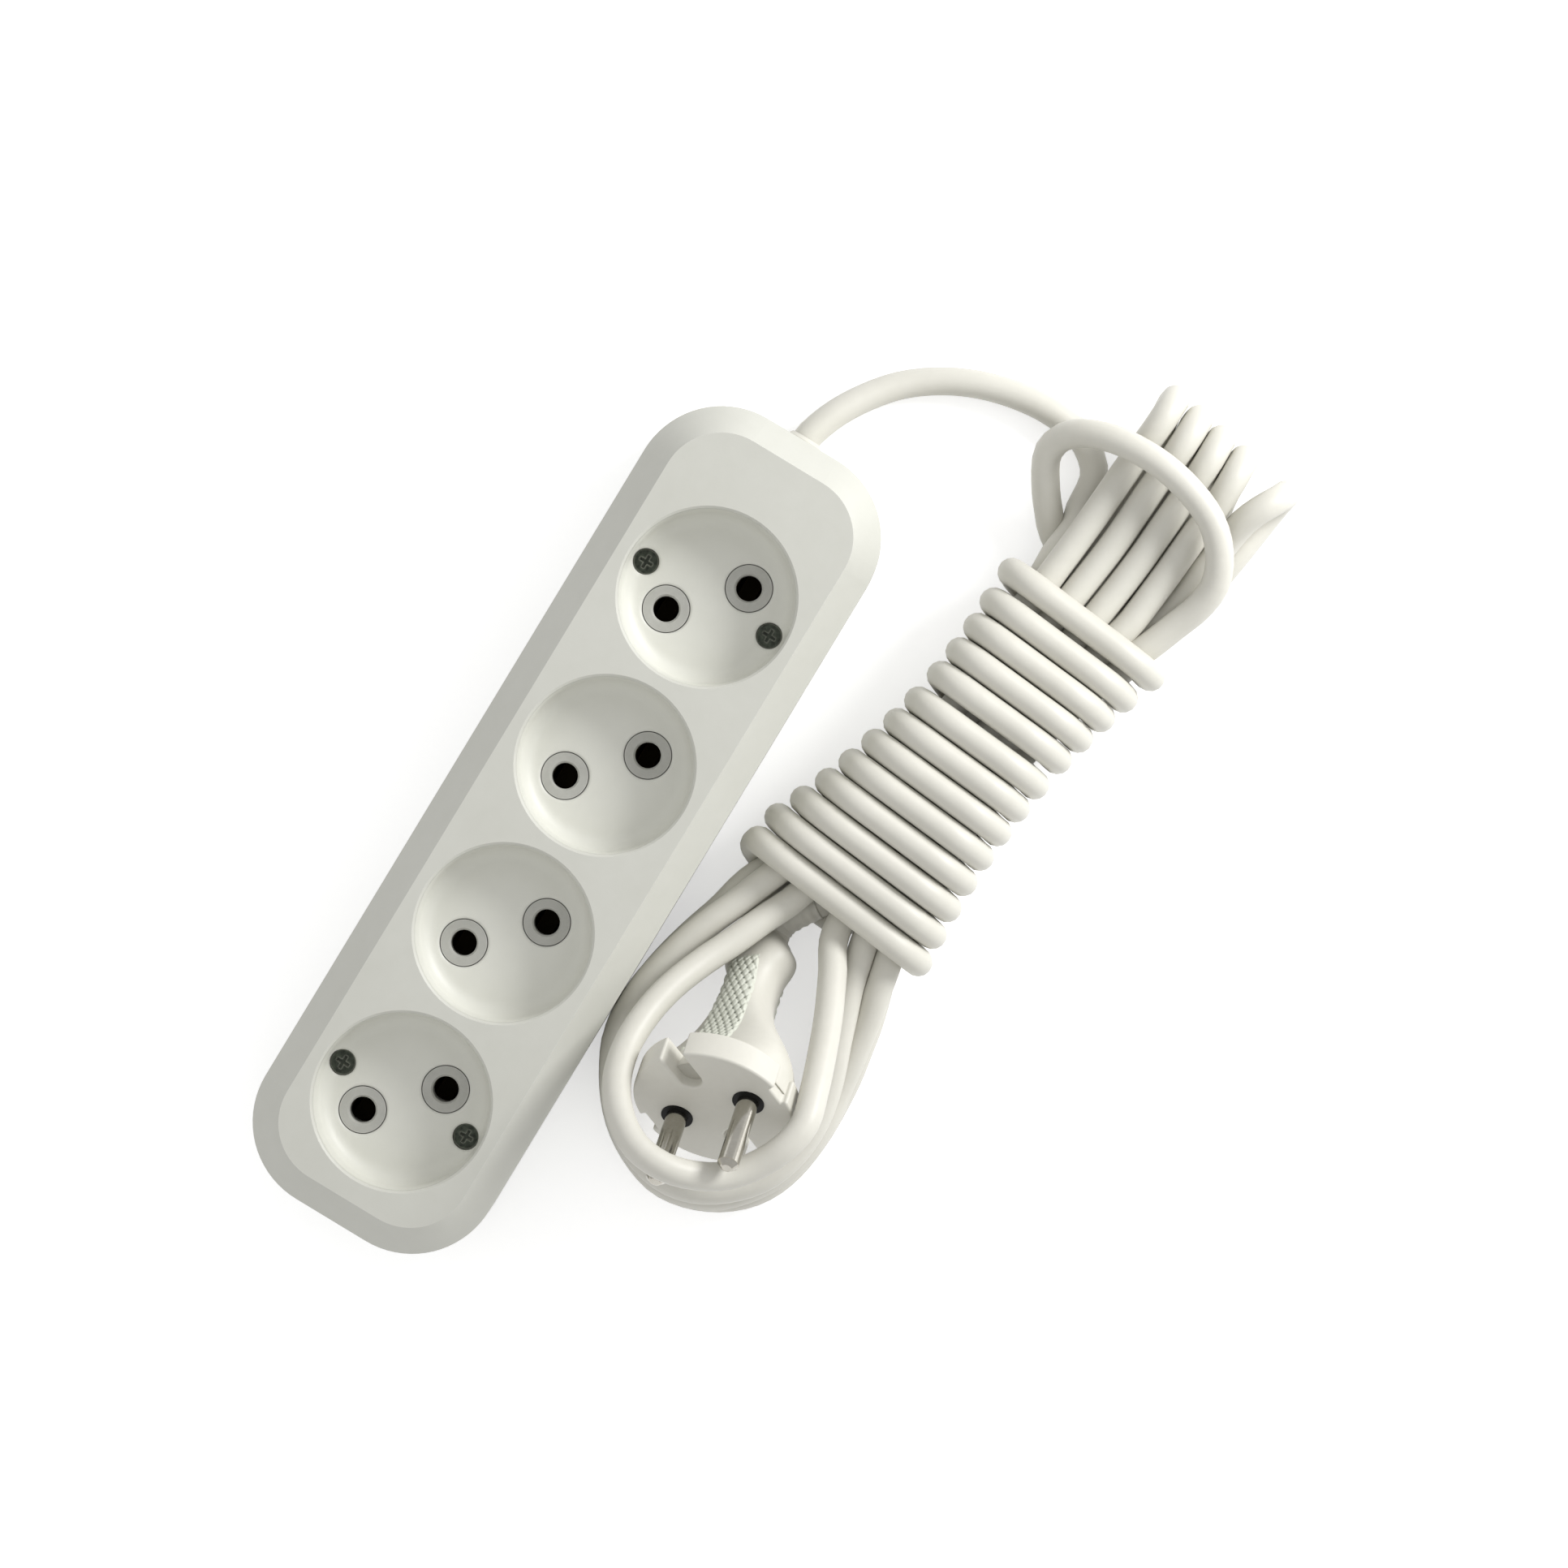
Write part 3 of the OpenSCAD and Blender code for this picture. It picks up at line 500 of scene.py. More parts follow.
# %% [markdown]
# ## The cord itself
# A curve with a round bevel is the natural way to draw a cord: it has the
# same thickness everywhere and stays easy to change. It stands for four CAD
# solids: the lead, the loop over the folds, the loop over the plug, and the
# closed solid that stands for the whole hank in a physics engine.

# %% The cord as one curve
def soft_curve(name, points, radius):
    """A smooth round curve through points, in metres."""
    data = bpy.data.curves.new(name, "CURVE")
    data.dimensions = "3D"
    data.bevel_depth = radius
    data.bevel_resolution = 5
    data.use_fill_caps = True
    spline = data.splines.new("POLY")
    spline.points.add(len(points) - 1)
    spline.points.foreach_set("co", np.column_stack([points, np.ones(len(points))]).ravel())
    spline.use_smooth = True
    obj = bpy.data.objects.new(name, data)
    bpy.context.scene.collection.objects.link(obj)
    return obj


cord = soft_curve("cord", cord_line, CORD_R * MM)
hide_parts("cord_lead", "cord_neck", "cord_bight", "cord_hank")
print("cord:", len(cord_line), "points")

# %% [markdown]
# ## Shared effects
# Nearly every piece here is moulded plastic that has been handled for a
# while. Small effects are shared between the materials as node groups: a
# mottle that moves the colour a little, a fine grain for roughness and
# relief, a pale wear line on edges that hands and shelves have rubbed, and
# a mask of small hollows, where a darker colour is painted in as shade.
# Image textures could do the same, but these stay sharp at any distance.

# %% Helpers for node groups
def new_group(name, inputs, outputs):
    """A shader node group with the named sockets, and its two end nodes."""
    group = bpy.data.node_groups.new(name, "ShaderNodeTree")
    for label, kind_of, value in inputs:
        socket = group.interface.new_socket(label, in_out="INPUT", socket_type=kind_of)
        socket.default_value = value
    for label, kind_of in outputs:
        group.interface.new_socket(label, in_out="OUTPUT", socket_type=kind_of)
    return group, group.nodes.new("NodeGroupInput"), group.nodes.new("NodeGroupOutput")


def feed(tree, socket, value):
    """Links an output to the socket, or sets the socket to a number or a colour."""
    if isinstance(value, bpy.types.NodeSocket):
        tree.links.new(value, socket)
    else:
        socket.default_value = value


def maths(tree, how, a, b):
    """The result of a Math node; a and b are outputs or numbers."""
    node = tree.nodes.new("ShaderNodeMath")
    node.operation = how
    feed(tree, node.inputs[0], a)
    feed(tree, node.inputs[1], b)
    return node.outputs[0]


def noise(tree, scale, detail):
    """Noise in object space; scale is an output or a number."""
    place_at = tree.nodes.new("ShaderNodeTexCoord").outputs["Object"]
    node = tree.nodes.new("ShaderNodeTexNoise")
    node.inputs["Detail"].default_value = detail
    tree.links.new(place_at, node.inputs["Vector"])
    feed(tree, node.inputs["Scale"], scale)
    return node.outputs["Fac"]


def mixed(tree, factor, a, b):
    """A colour between a and b, each an output or a colour."""
    node = tree.nodes.new("ShaderNodeMix")
    node.data_type = "RGBA"
    feed(tree, node.inputs["Factor"], factor)
    feed(tree, node.inputs["A"], a)
    feed(tree, node.inputs["B"], b)
    return node.outputs["Result"]


def clamped(tree, value):
    """The value, kept between 0 and 1."""
    node = tree.nodes.new("ShaderNodeClamp")
    feed(tree, node.inputs["Value"], value)
    return node.outputs["Result"]


def blended(tree, a, b, share):
    """The sum of a's share and the rest of b, both numbers."""
    return maths(tree, "ADD", maths(tree, "MULTIPLY", a, share), maths(tree, "MULTIPLY", b, 1 - share))


print("helpers for groups: feed, maths, noise, mixed, clamped, blended")

# %% Mottle: a colour that drifts a little over the surface
SPOTS_FINER, COARSE_SHARE = 9.0, 0.7
DRIFT_FROM, DRIFT_TO = 0.35, 0.68
mottle, g_in, g_out = new_group(
    "mottle", [("Colour", "NodeSocketColor", (0.6, 0.6, 0.55, 1)),
               ("Other", "NodeSocketColor", (0.5, 0.5, 0.45, 1)),
               ("Scale", "NodeSocketFloat", 30.0), ("Amount", "NodeSocketFloat", 0.5)],
    [("Colour", "NodeSocketColor")])
coarse = noise(mottle, g_in.outputs["Scale"], 4.0)
spots = noise(mottle, maths(mottle, "MULTIPLY", g_in.outputs["Scale"], SPOTS_FINER), 2.0)
ramp = mottle.nodes.new("ShaderNodeMapRange")
ramp.inputs["From Min"].default_value = DRIFT_FROM
ramp.inputs["From Max"].default_value = DRIFT_TO
mottle.links.new(blended(mottle, coarse, spots, COARSE_SHARE), ramp.inputs["Value"])
drift = maths(mottle, "MULTIPLY", ramp.outputs["Result"], g_in.outputs["Amount"])
mottle.links.new(mixed(mottle, drift, g_in.outputs["Colour"], g_in.outputs["Other"]), g_out.inputs["Colour"])
print("mottle nodes:", len(mottle.nodes))

# %% Grain: roughness and height of a fine moulded texture
SMEAR_SCALE, FINE_SHARE = 35.0, 0.4
grain, g_in, g_out = new_group(
    "grain", [("Scale", "NodeSocketFloat", 900.0), ("Roughness", "NodeSocketFloat", 0.4),
              ("Spread", "NodeSocketFloat", 0.1)],
    [("Roughness", "NodeSocketFloat"), ("Height", "NodeSocketFloat")])
fine = noise(grain, g_in.outputs["Scale"], 2.0)
smear = noise(grain, SMEAR_SCALE, 3.0)
shift = maths(grain, "SUBTRACT", blended(grain, fine, smear, FINE_SHARE), 0.5)
drift = maths(grain, "MULTIPLY", shift, maths(grain, "MULTIPLY", g_in.outputs["Spread"], 2.0))
grain.links.new(maths(grain, "ADD", g_in.outputs["Roughness"], drift), g_out.inputs["Roughness"])
grain.links.new(fine, g_out.inputs["Height"])
print("grain nodes:", len(grain.nodes))

# %% Worn edges: a mask that is 1 on sharp outer edges, and the rounded normal it comes from
WEAR_GAIN, WEAR_PATCHES = 6.0, 120.0
worn, g_in, g_out = new_group(
    "worn_edges", [("Radius", "NodeSocketFloat", 0.0006), ("Amount", "NodeSocketFloat", 1.0)],
    [("Mask", "NodeSocketFloat"), ("Normal", "NodeSocketVector")])
rounded = worn.nodes.new("ShaderNodeBevel")
rounded.samples = 8
worn.links.new(g_in.outputs["Radius"], rounded.inputs["Radius"])
surface = worn.nodes.new("ShaderNodeNewGeometry")
dot = worn.nodes.new("ShaderNodeVectorMath")
dot.operation = "DOT_PRODUCT"
worn.links.new(rounded.outputs["Normal"], dot.inputs[0])
worn.links.new(surface.outputs["Normal"], dot.inputs[1])
bend = maths(worn, "MULTIPLY", maths(worn, "SUBTRACT", 1.0, dot.outputs["Value"]), WEAR_GAIN)
patchy = maths(worn, "MULTIPLY", bend, noise(worn, WEAR_PATCHES, 3.0))
mask = clamped(worn, maths(worn, "MULTIPLY", patchy, g_in.outputs["Amount"]))
worn.links.new(mask, g_out.inputs["Mask"])
worn.links.new(rounded.outputs["Normal"], g_out.inputs["Normal"])
print("worn edge nodes:", len(worn.nodes))

# %% Hollows: a mask that is 1 deep in small hollows, where shade is painted in
OPEN_ENOUGH = 0.8
pit_shade, g_in, g_out = new_group(
    "pit_shade", [("Reach", "NodeSocketFloat", 0.001), ("Amount", "NodeSocketFloat", 3.0)],
    [("Mask", "NodeSocketFloat")])
shade = pit_shade.nodes.new("ShaderNodeAmbientOcclusion")
shade.samples = 8
shade.only_local = True
pit_shade.links.new(g_in.outputs["Reach"], shade.inputs["Distance"])
closed = maths(pit_shade, "SUBTRACT", OPEN_ENOUGH, shade.outputs["AO"])
mask = clamped(pit_shade, maths(pit_shade, "MULTIPLY", closed, g_in.outputs["Amount"]))
pit_shade.links.new(mask, g_out.inputs["Mask"])
print("groups:", [g.name for g in bpy.data.node_groups])

# %% [markdown]
# ## The finishes
# A finish is a Principled shader with these effects in front of it. The
# colours are written as they look in even light. Plastics here are off-white
# with a touch of yellow-grey, and each kind differs a little: the shell and
# tray are greyer, and the cord's soft jacket and the plug are warmer. The
# cups are the shell's plastic painted lighter, as painted light that keeps
# the recess floors bright.

# %% A finish from colours, roughness and wear
EDGE_RADIUS = 0.0006


def srgb(r, g, b):
    """Linear colour of an 8-bit screen colour."""
    return tuple(((c / 255 + 0.055) / 1.055) ** 2.4 if c > 10 else c / 3295 for c in (r, g, b)) + (1.0,)


def place_group(tree, group, **values):
    """A node that uses the group, with its inputs set by name."""
    node = tree.nodes.new("ShaderNodeGroup")
    node.node_tree = group
    for label, value in values.items():
        node.inputs[label].default_value = value
    return node


def finish(name, colour, other, roughness, scale=30.0, amount=0.6, grain_scale=900.0, spread=0.06,
           relief=0.06, depth=0.00005, wear=0.5, worn_colour=None, metallic=0.0, specular=0.5, round_off=0.0,
           pit_shade_colour=None):
    """A material with drifting colour, grained roughness and relief, and rubbed edges.

    The colour drifts towards other by amount, in spots set by scale. The grain is set by
    grain_scale, changes the roughness by spread, and stands depth metres high at strength
    relief. Where wear isn't 0, round_off, in metres, also shades edges as if they were
    rounded by that radius. A hollow colour, if given, is painted into small hollows as shade.
    """
    material = bpy.data.materials.new(name)
    material.use_nodes = True
    tree = material.node_tree
    shader = tree.nodes["Principled BSDF"]
    shader.inputs["Metallic"].default_value = metallic
    shader.inputs["Specular IOR Level"].default_value = specular
    tint = place_group(tree, mottle, Colour=colour, Other=other, Scale=scale, Amount=amount)
    skin = place_group(tree, grain, Scale=grain_scale, Roughness=roughness, Spread=spread)
    shown = tint.outputs["Colour"]
    if wear:
        edge = place_group(tree, worn, Radius=round_off or EDGE_RADIUS, Amount=wear)
        shown = mixed(tree, edge.outputs["Mask"], shown, worn_colour or colour)
    # Small hollows take a darker colour here: shade painted in through an occlusion mask.
    if pit_shade_colour:
        shown = mixed(tree, place_group(tree, pit_shade).outputs["Mask"], shown, pit_shade_colour)
    tree.links.new(shown, shader.inputs["Base Color"])
    tree.links.new(skin.outputs["Roughness"], shader.inputs["Roughness"])
    bump = tree.nodes.new("ShaderNodeBump")
    bump.inputs["Strength"].default_value = relief
    bump.inputs["Distance"].default_value = depth
    tree.links.new(skin.outputs["Height"], bump.inputs["Height"])
    if round_off:
        tree.links.new(edge.outputs["Normal"], bump.inputs["Normal"])
    tree.links.new(bump.outputs["Normal"], shader.inputs["Normal"])
    return material


print("an 8-bit 203 is", round(srgb(203, 203, 203)[0], 3), "in linear light")

# %% Moulded plastic and soft jacket
housing = finish("housing_plastic", srgb(203, 203, 195), srgb(195, 195, 186), 0.42,
                 worn_colour=srgb(222, 222, 216), relief=0.25)
tray = finish("tray_plastic", srgb(201, 201, 193), srgb(193, 193, 184), 0.45,
              worn_colour=srgb(218, 218, 211), relief=0.25)
# The cups are painted lighter than the shell: painted light for the recess floors.
cup = finish("cup_plastic_painted_light", srgb(219, 219, 211), srgb(212, 212, 203), 0.44,
             worn_colour=srgb(222, 222, 216), relief=0.22, wear=0.1, round_off=0.0013)
carrier = finish("sleeve_plastic", srgb(178, 178, 172), srgb(160, 160, 153), 0.55,
                 scale=160.0, grain_scale=1800.0, relief=0.5, worn_colour=srgb(205, 204, 198))
jacket = finish("cord_jacket", srgb(212, 210, 201), srgb(203, 201, 191), 0.46, scale=45.0,
                grain_scale=420.0, relief=0.35, depth=0.0001, wear=0.0, specular=0.45)
plug_skin = finish("plug_plastic", srgb(214, 212, 203), srgb(205, 203, 193), 0.5, scale=60.0,
                   grain_scale=700.0, relief=0.25, worn_colour=srgb(222, 220, 211), wear=0.4)
# The diamond panel's hollows are painted darker, as shade.
panel_skin = finish("grip_panel_plastic", srgb(214, 216, 205), srgb(200, 203, 190), 0.55, scale=90.0,
                    grain_scale=1200.0, relief=0.3, wear=0.0, pit_shade_colour=srgb(92, 96, 84))
clamp_skin = finish("clamp_plastic", srgb(206, 204, 196), srgb(192, 190, 181), 0.55,
                    worn_colour=srgb(220, 219, 212))
black = finish("black_insert", srgb(14, 14, 13), srgb(8, 8, 8), 0.5, scale=220.0, specular=0.15,
               grain_scale=1500.0, relief=0.3, worn_colour=srgb(30, 29, 28), wear=0.15)
brown_core = finish("brown_core", srgb(96, 56, 34), srgb(74, 42, 26), 0.4, wear=0.0)
blue_core = finish("blue_core", srgb(40, 84, 148), srgb(30, 66, 122), 0.4, wear=0.0)
print("plastics:", [m.name for m in (housing, tray, cup, carrier, jacket, plug_skin, panel_skin, black)])

# %% Metals
nickel = finish("nickel_plate", srgb(186, 183, 174), srgb(158, 154, 145), 0.15, scale=150.0, spread=0.1,
                grain_scale=2400.0, relief=0.12, metallic=1.0, worn_colour=srgb(190, 160, 96), wear=0.5)
# The brass is painted nearly black: painted shade, so that it reads dark down the pin holes.
brass_painted_dark = finish("brass_strip", srgb(44, 37, 24), srgb(26, 22, 15), 0.5, scale=90.0, metallic=1.0,
               worn_colour=srgb(80, 66, 42), spread=0.1)
# The screws' pale edges are partly real wear and partly painted highlight on the head rims.
dark_steel = finish("screw_steel", srgb(78, 84, 73), srgb(22, 25, 20), 0.36, scale=900.0, amount=0.9,
                    spread=0.2, grain_scale=1600.0, relief=0.9, depth=0.0001, metallic=0.75,
                    worn_colour=srgb(140, 142, 130), wear=1.1)
zinc = finish("zinc_steel", srgb(176, 178, 172), srgb(140, 142, 136), 0.35, scale=300.0, metallic=1.0,
              worn_colour=srgb(205, 206, 200))
print("materials:", len([m for m in bpy.data.materials if m.use_nodes]))

# %% [markdown]
# ## Dress the hard pieces
# The housing, the cups, the contacts and the screws are exact CAD solids, so
# they keep their shape and only take a finish. A moulded edge is never
# sharp, so a bevel modifier rounds each by a few tenths of a millimetre;
# this is where the thin light and dark lines along the edges come from.
# Sculpting the edges would give the same, with far more points.

# %% Finishes and rounded edges of the CAD pieces
SHARP_EDGE = math.radians(24)


def dress(node, material, edge=0.0, segments=3):
    """Gives a CAD node its finish and, if edge isn't 0, rounded edges in millimetres."""
    obj = nodes[node]
    obj.data.materials.clear()
    obj.data.materials.append(material)
    if edge:
        bevel = obj.modifiers.new("rounded_edges", "BEVEL")
        bevel.width = edge * MM
        bevel.segments = segments
        bevel.limit_method = "ANGLE"
        bevel.angle_limit = SHARP_EDGE
        bevel.use_clamp_overlap = True
        bevel.harden_normals = True
    return obj


dress("top_cover", housing, 0.9, 4)
dress("base_tray", tray, 0.4, 2)
for i in range(1, 5):
    dress(f"socket_cup_{i}", cup)
    dress(f"contact_carrier_{i}", carrier)
for name in ("busbar_line", "busbar_neutral"):
    dress(name, brass_painted_dark)
dress("core_line", brown_core)
dress("core_neutral", blue_core)
dress("cover_screws", dark_steel, 0.15, 2)
dress("cord_clamp", clamp_skin, 0.3, 2)
dress("clamp_screws", zinc, 0.1, 2)
dress("cord_gland", jacket, 0.4, 3)
dress("plug_bridge", black, 0.25, 3)
for name in ("plug_pin_line", "plug_pin_neutral"):
    dress(name, nickel, 0.25, 3)
cord.data.materials.append(jacket)
print("top cover faces:", len(nodes["top_cover"].data.polygons))

# %% [markdown]
# ## The plug
# The plug is moulded round its cord in one piece: a flange with two open
# slots, a waist for the fingers that flares again at its rear end, and a
# panel of small diamonds on each flat. The CAD solid has its shape in flat
# facets. Here the grip is a loft of many more ovals, so it is smooth, and
# it stands in for that solid. The plug leans on its side, so its pieces are
# made upright and then turned by one matrix, the same as in the CAD source.

# %% Where the plug stands
PLUG_AT = Vector((-35.65, -59.5, 40))
HEADING, TILT, ROLL = math.radians(192.5), math.radians(50), math.radians(133.5)
PLUG_L, FLANGE_R, FLANGE_T = 48.0, 18.2, 6.8
to_plug_frame = (Matrix.Translation(PLUG_AT * MM) @ Matrix.Rotation(HEADING, 4, "Z")
                 @ Matrix.Rotation(TILT, 4, "Y") @ Matrix.Rotation(ROLL, 4, "Z"))
print("the pins point along", [round(v, 2) for v in to_plug_frame.col[2][:3]])


# %% Meshes from rings of points
def mesh_piece(name, points, faces, material, matrix=None):
    """A smooth mesh object from points in millimetres; matrix places it in the model."""
    data = bpy.data.meshes.new(name)
    data.from_pydata([tuple(p) for p in np.asarray(points, float) * MM], [], faces)
    if matrix is not None:
        data.transform(matrix)
    data.materials.append(material)
    data.validate()
    data.shade_smooth()
    obj = bpy.data.objects.new(name, data)
    bpy.context.scene.collection.objects.link(obj)
    return obj


def skin_faces(rings, around, close=True):
    """Quads between rings of around points each."""
    faces = []
    for i in range(rings - 1):
        for j in range(around if close else around - 1):
            a, b = i * around + j, i * around + (j + 1) % around
            faces.append((a, b, b + around, a + around))
    return faces


print("two rings of 4 points have", len(skin_faces(2, 4)), "faces between them")

# %% The grip's form, with every place as a share of its length
OVAL = 0.72
WAIST_HALF, WAIST_EXTRA, WAIST_FROM, WAIST_SPAN = 5.6, 11.4, 0.14, 0.54
WING, WING_AT, WING_SPAN = 2.6, 0.89, 0.085
FLAT_HALF, FLAT_EXTRA, FLAT_SPAN = 5.8, 7.0, 0.47
TIP_LOSS, TIP_FROM, TIP_SPAN = 0.12, 0.9, 0.1


def fade(t, start, span):
    """Falls smoothly from 1 at start to 0 at the span's end."""
    return math.cos(math.pi / 2 * min(1, max(0, (t - start) / span))) ** 2


def grip_half(t):
    """Half width and half thickness of the grip at a share t of its length."""
    waist = WAIST_HALF + WAIST_EXTRA * fade(t, WAIST_FROM, WAIST_SPAN)
    wing = WING * math.exp(-((t - WING_AT) / WING_SPAN) ** 2)
    flat = FLAT_HALF + FLAT_EXTRA * fade(t, 0, FLAT_SPAN)
    tip = 1 - TIP_LOSS * max(0, (t - TIP_FROM) / TIP_SPAN) ** 2
    return (waist + wing) * tip, flat * tip


def grip_point(t, angle, lift=0.0):
    """A point of the grip's surface, lifted off it by lift millimetres."""
    w, h = grip_half(t)
    c, s = math.cos(angle), math.sin(angle)
    x = w * math.copysign(abs(c) ** OVAL, c)
    y = h * math.copysign(abs(s) ** OVAL, s)
    n = math.hypot(x / w ** 2, y / h ** 2)
    return (x + lift * x / w ** 2 / n, y + lift * y / h ** 2 / n, -PLUG_L * t)


print("half width at the waist:", round(min(grip_half(i / 100)[0] for i in range(100)), 1), "mm")

# %% The grip as a loft
AROUND, RINGS, FIRST_RING_AT = 96, 61, 0.055
HEEL_RINGS = ((0.45, 0.96), (0.8, 0.87), (0.95, 0.72), (1.0, 0.4))
angles = [2 * math.pi * j / AROUND for j in range(AROUND)]
points = []
for i in range(RINGS):
    t = FIRST_RING_AT + (1 - FIRST_RING_AT) * i / (RINGS - 1)
    points += [grip_point(t, angle) for angle in angles]
heel_ring = points[-AROUND:]
for back, share in HEEL_RINGS:
    points += [(x * share, y * share, -PLUG_L - back) for x, y, _ in heel_ring]
faces = skin_faces(RINGS + len(HEEL_RINGS), AROUND)
faces += [tuple(range(len(points) - 1, len(points) - AROUND - 1, -1)), tuple(range(AROUND))]
grip = mesh_piece("plug_grip", points, [f[::-1] for f in faces], plug_skin, matrix=to_plug_frame)
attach(grip, "root")
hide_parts("plug_body")
print("grip points:", len(points))

# %% [markdown]
# ## The diamond panels
# The pattern is cut into the mould, so the diamonds stand proud of a panel
# that is itself hardly raised. Each panel is a fine grid over the grip's
# surface. Two slanted waves make grooves, deepest where they cross, and the
# tops are flat. A bump map would be lighter, but its outline would be smooth.

# %% The diamonds' height
PANEL_PITCH, PANEL_SLOPE = 1.82, 0.6
FIELD, GROOVE_RISE, CORNER_RISE = 0.05, 0.35, 0.6
FLANK, FLAT_TOP = 1.35, 0.7


def wave(v):
    """A triangle wave between 0 and 1."""
    return 1 - abs(2 * (v - math.floor(v)) - 1)


def diamond_height(across, drift):
    """Height of the pattern at a place across the flat; drift grows along the grip."""
    a = wave((across + drift) / PANEL_PITCH)
    b = wave((across - drift) / PANEL_PITCH)
    groove, corner = min(FLAT_TOP, FLANK * min(a, b)), min(FLAT_TOP, FLANK * max(a, b))
    return FIELD + GROOVE_RISE * groove + CORNER_RISE * corner


print("a diamond stands", round(diamond_height(PANEL_PITCH / 2, 0) - FIELD, 2), "mm over the grooves")

# %% Diamond panels on both flats
COLUMNS, ROWS = 120, 190
PANEL_FROM, PANEL_SPAN = 0.2, 0.65
PANEL_HALF, PANEL_TAPER = 6.2, 2.3
RIM, RIM_SLOPE = -0.15, 16


def diamond_panel(name, side):
    """The panel of the flat at side 1 or -1."""
    points = []
    for i in range(ROWS + 1):
        v = i / ROWS
        t = PANEL_FROM + PANEL_SPAN * v
        for j in range(COLUMNS + 1):
            u = j / COLUMNS
            across = (1 - 2 * u) * (PANEL_HALF - PANEL_TAPER * v)
            share = across / grip_half(t)[0]
            angle = math.acos(math.copysign(abs(share) ** (1 / OVAL), share)) * side
            border = min(1.0, RIM_SLOPE * min(u, 1 - u), RIM_SLOPE * min(v, 1 - v))
            lift = RIM + border * diamond_height(across, PANEL_SLOPE * PLUG_L * t)
            points.append(grip_point(t, angle, lift))
    faces = [f[::-side] for f in skin_faces(ROWS + 1, COLUMNS + 1, close=False)]
    return mesh_piece(name, points, faces, panel_skin, matrix=to_plug_frame)


panel_top = diamond_panel("grip_panel_top", 1)
panel_under = diamond_panel("grip_panel_under", -1)
for piece in (panel_top, panel_under):
    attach(piece, "root")
print("panel points:", len(panel_top.data.vertices))

# %% [markdown]
# ## The flange
# The flange fills a socket's recess and keeps fingers away from the pins.
# Its two open slots let the plug pass the ribs of earthed sockets. One
# outline with the slots in it, extruded and rounded by a bevel modifier,
# gives the whole shape with few points.

# %% The flange's outline
SLOT_Y, SLOT_HALF, CLIP_HALF, CLIP_DEEP = 10.0, 2.7, 2.5, 1.6
RIM_PARTS, SLOT_PARTS = 26, 16


def circle_bit(cx, cy, r, a0, a1, n):
    """Points of an arc about (cx, cy), from angle a0 to a1 in degrees, in n parts."""
    return [(cx + r * math.cos(math.radians(a0 + (a1 - a0) * i / n)),
             cy + r * math.sin(math.radians(a0 + (a1 - a0) * i / n))) for i in range(n + 1)]


rim_angle = math.degrees(math.asin(SLOT_HALF / FLANGE_R))
clip_angle = math.degrees(math.asin(CLIP_HALF / FLANGE_R))
quarter = circle_bit(0, 0, FLANGE_R, clip_angle, 90 - rim_angle, RIM_PARTS)
outline = [(FLANGE_R - CLIP_DEEP, CLIP_HALF)] + quarter
outline += circle_bit(0, SLOT_Y, SLOT_HALF, 0, -180, SLOT_PARTS)
outline += [(-x, y) for x, y in quarter[::-1]] + [(CLIP_DEEP - FLANGE_R, CLIP_HALF)]
outline += [(-x, -y) for x, y in outline]
count = len(outline)
print("flange outline points:", count)

# %% The flange itself
FLANGE_EDGE, FLANGE_CORNER = 0.8, math.radians(35)
points = [(x, y, 0) for x, y in outline] + [(x, y, -FLANGE_T) for x, y in outline]
faces = [tuple(range(count)), tuple(range(2 * count - 1, count - 1, -1))]
faces += [(i, i + count, (i + 1) % count + count, (i + 1) % count) for i in range(count)]
flange = mesh_piece("plug_flange", points, faces, plug_skin, matrix=to_plug_frame)
soften = flange.modifiers.new("rounded_rim", "BEVEL")
soften.width = FLANGE_EDGE * MM
soften.segments = 4
soften.limit_method = "ANGLE"
soften.angle_limit = FLANGE_CORNER
soften.harden_normals = True
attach(flange, "root")
print("flange faces:", len(flange.data.polygons))

# %% [markdown]
# ## The relief
# Where the cord enters the grip it would break first, so the plastic tapers
# off along it. The relief bends with the cord under the lowest turn. It is a
# tube whose radius shrinks in small steps, like the ribs of the real one.

# %% The relief
HEEL_BACK = (46, 49, 52)
RELIEF_RADII = (4.7, 4.4, 3.5)
RIB_DEPTH, RIBS_PER_POINT, PARTS_PER_POINT = 0.22, 2.2, 12


def tube_piece(name, path, radii, material, around=28):
    """A tube in the model's frame, in millimetres, with one radius for each point."""
    path = [Vector(p) for p in path]
    points = []
    side = Vector((0, 0, 1))
    for i, p in enumerate(path):
        ahead = (path[min(i + 1, len(path) - 1)] - path[max(i - 1, 0)]).normalized()
        across = side.cross(ahead).normalized()
        up = ahead.cross(across)
        for j in range(around):
            a = 2 * math.pi * j / around
            points.append(p + float(radii[i]) * (math.cos(a) * across + math.sin(a) * up))
    faces = skin_faces(len(path), around)
    faces += [tuple(range(around - 1, -1, -1)),
              tuple(range((len(path) - 1) * around, len(path) * around))]
    return mesh_piece(name, points, faces, material)


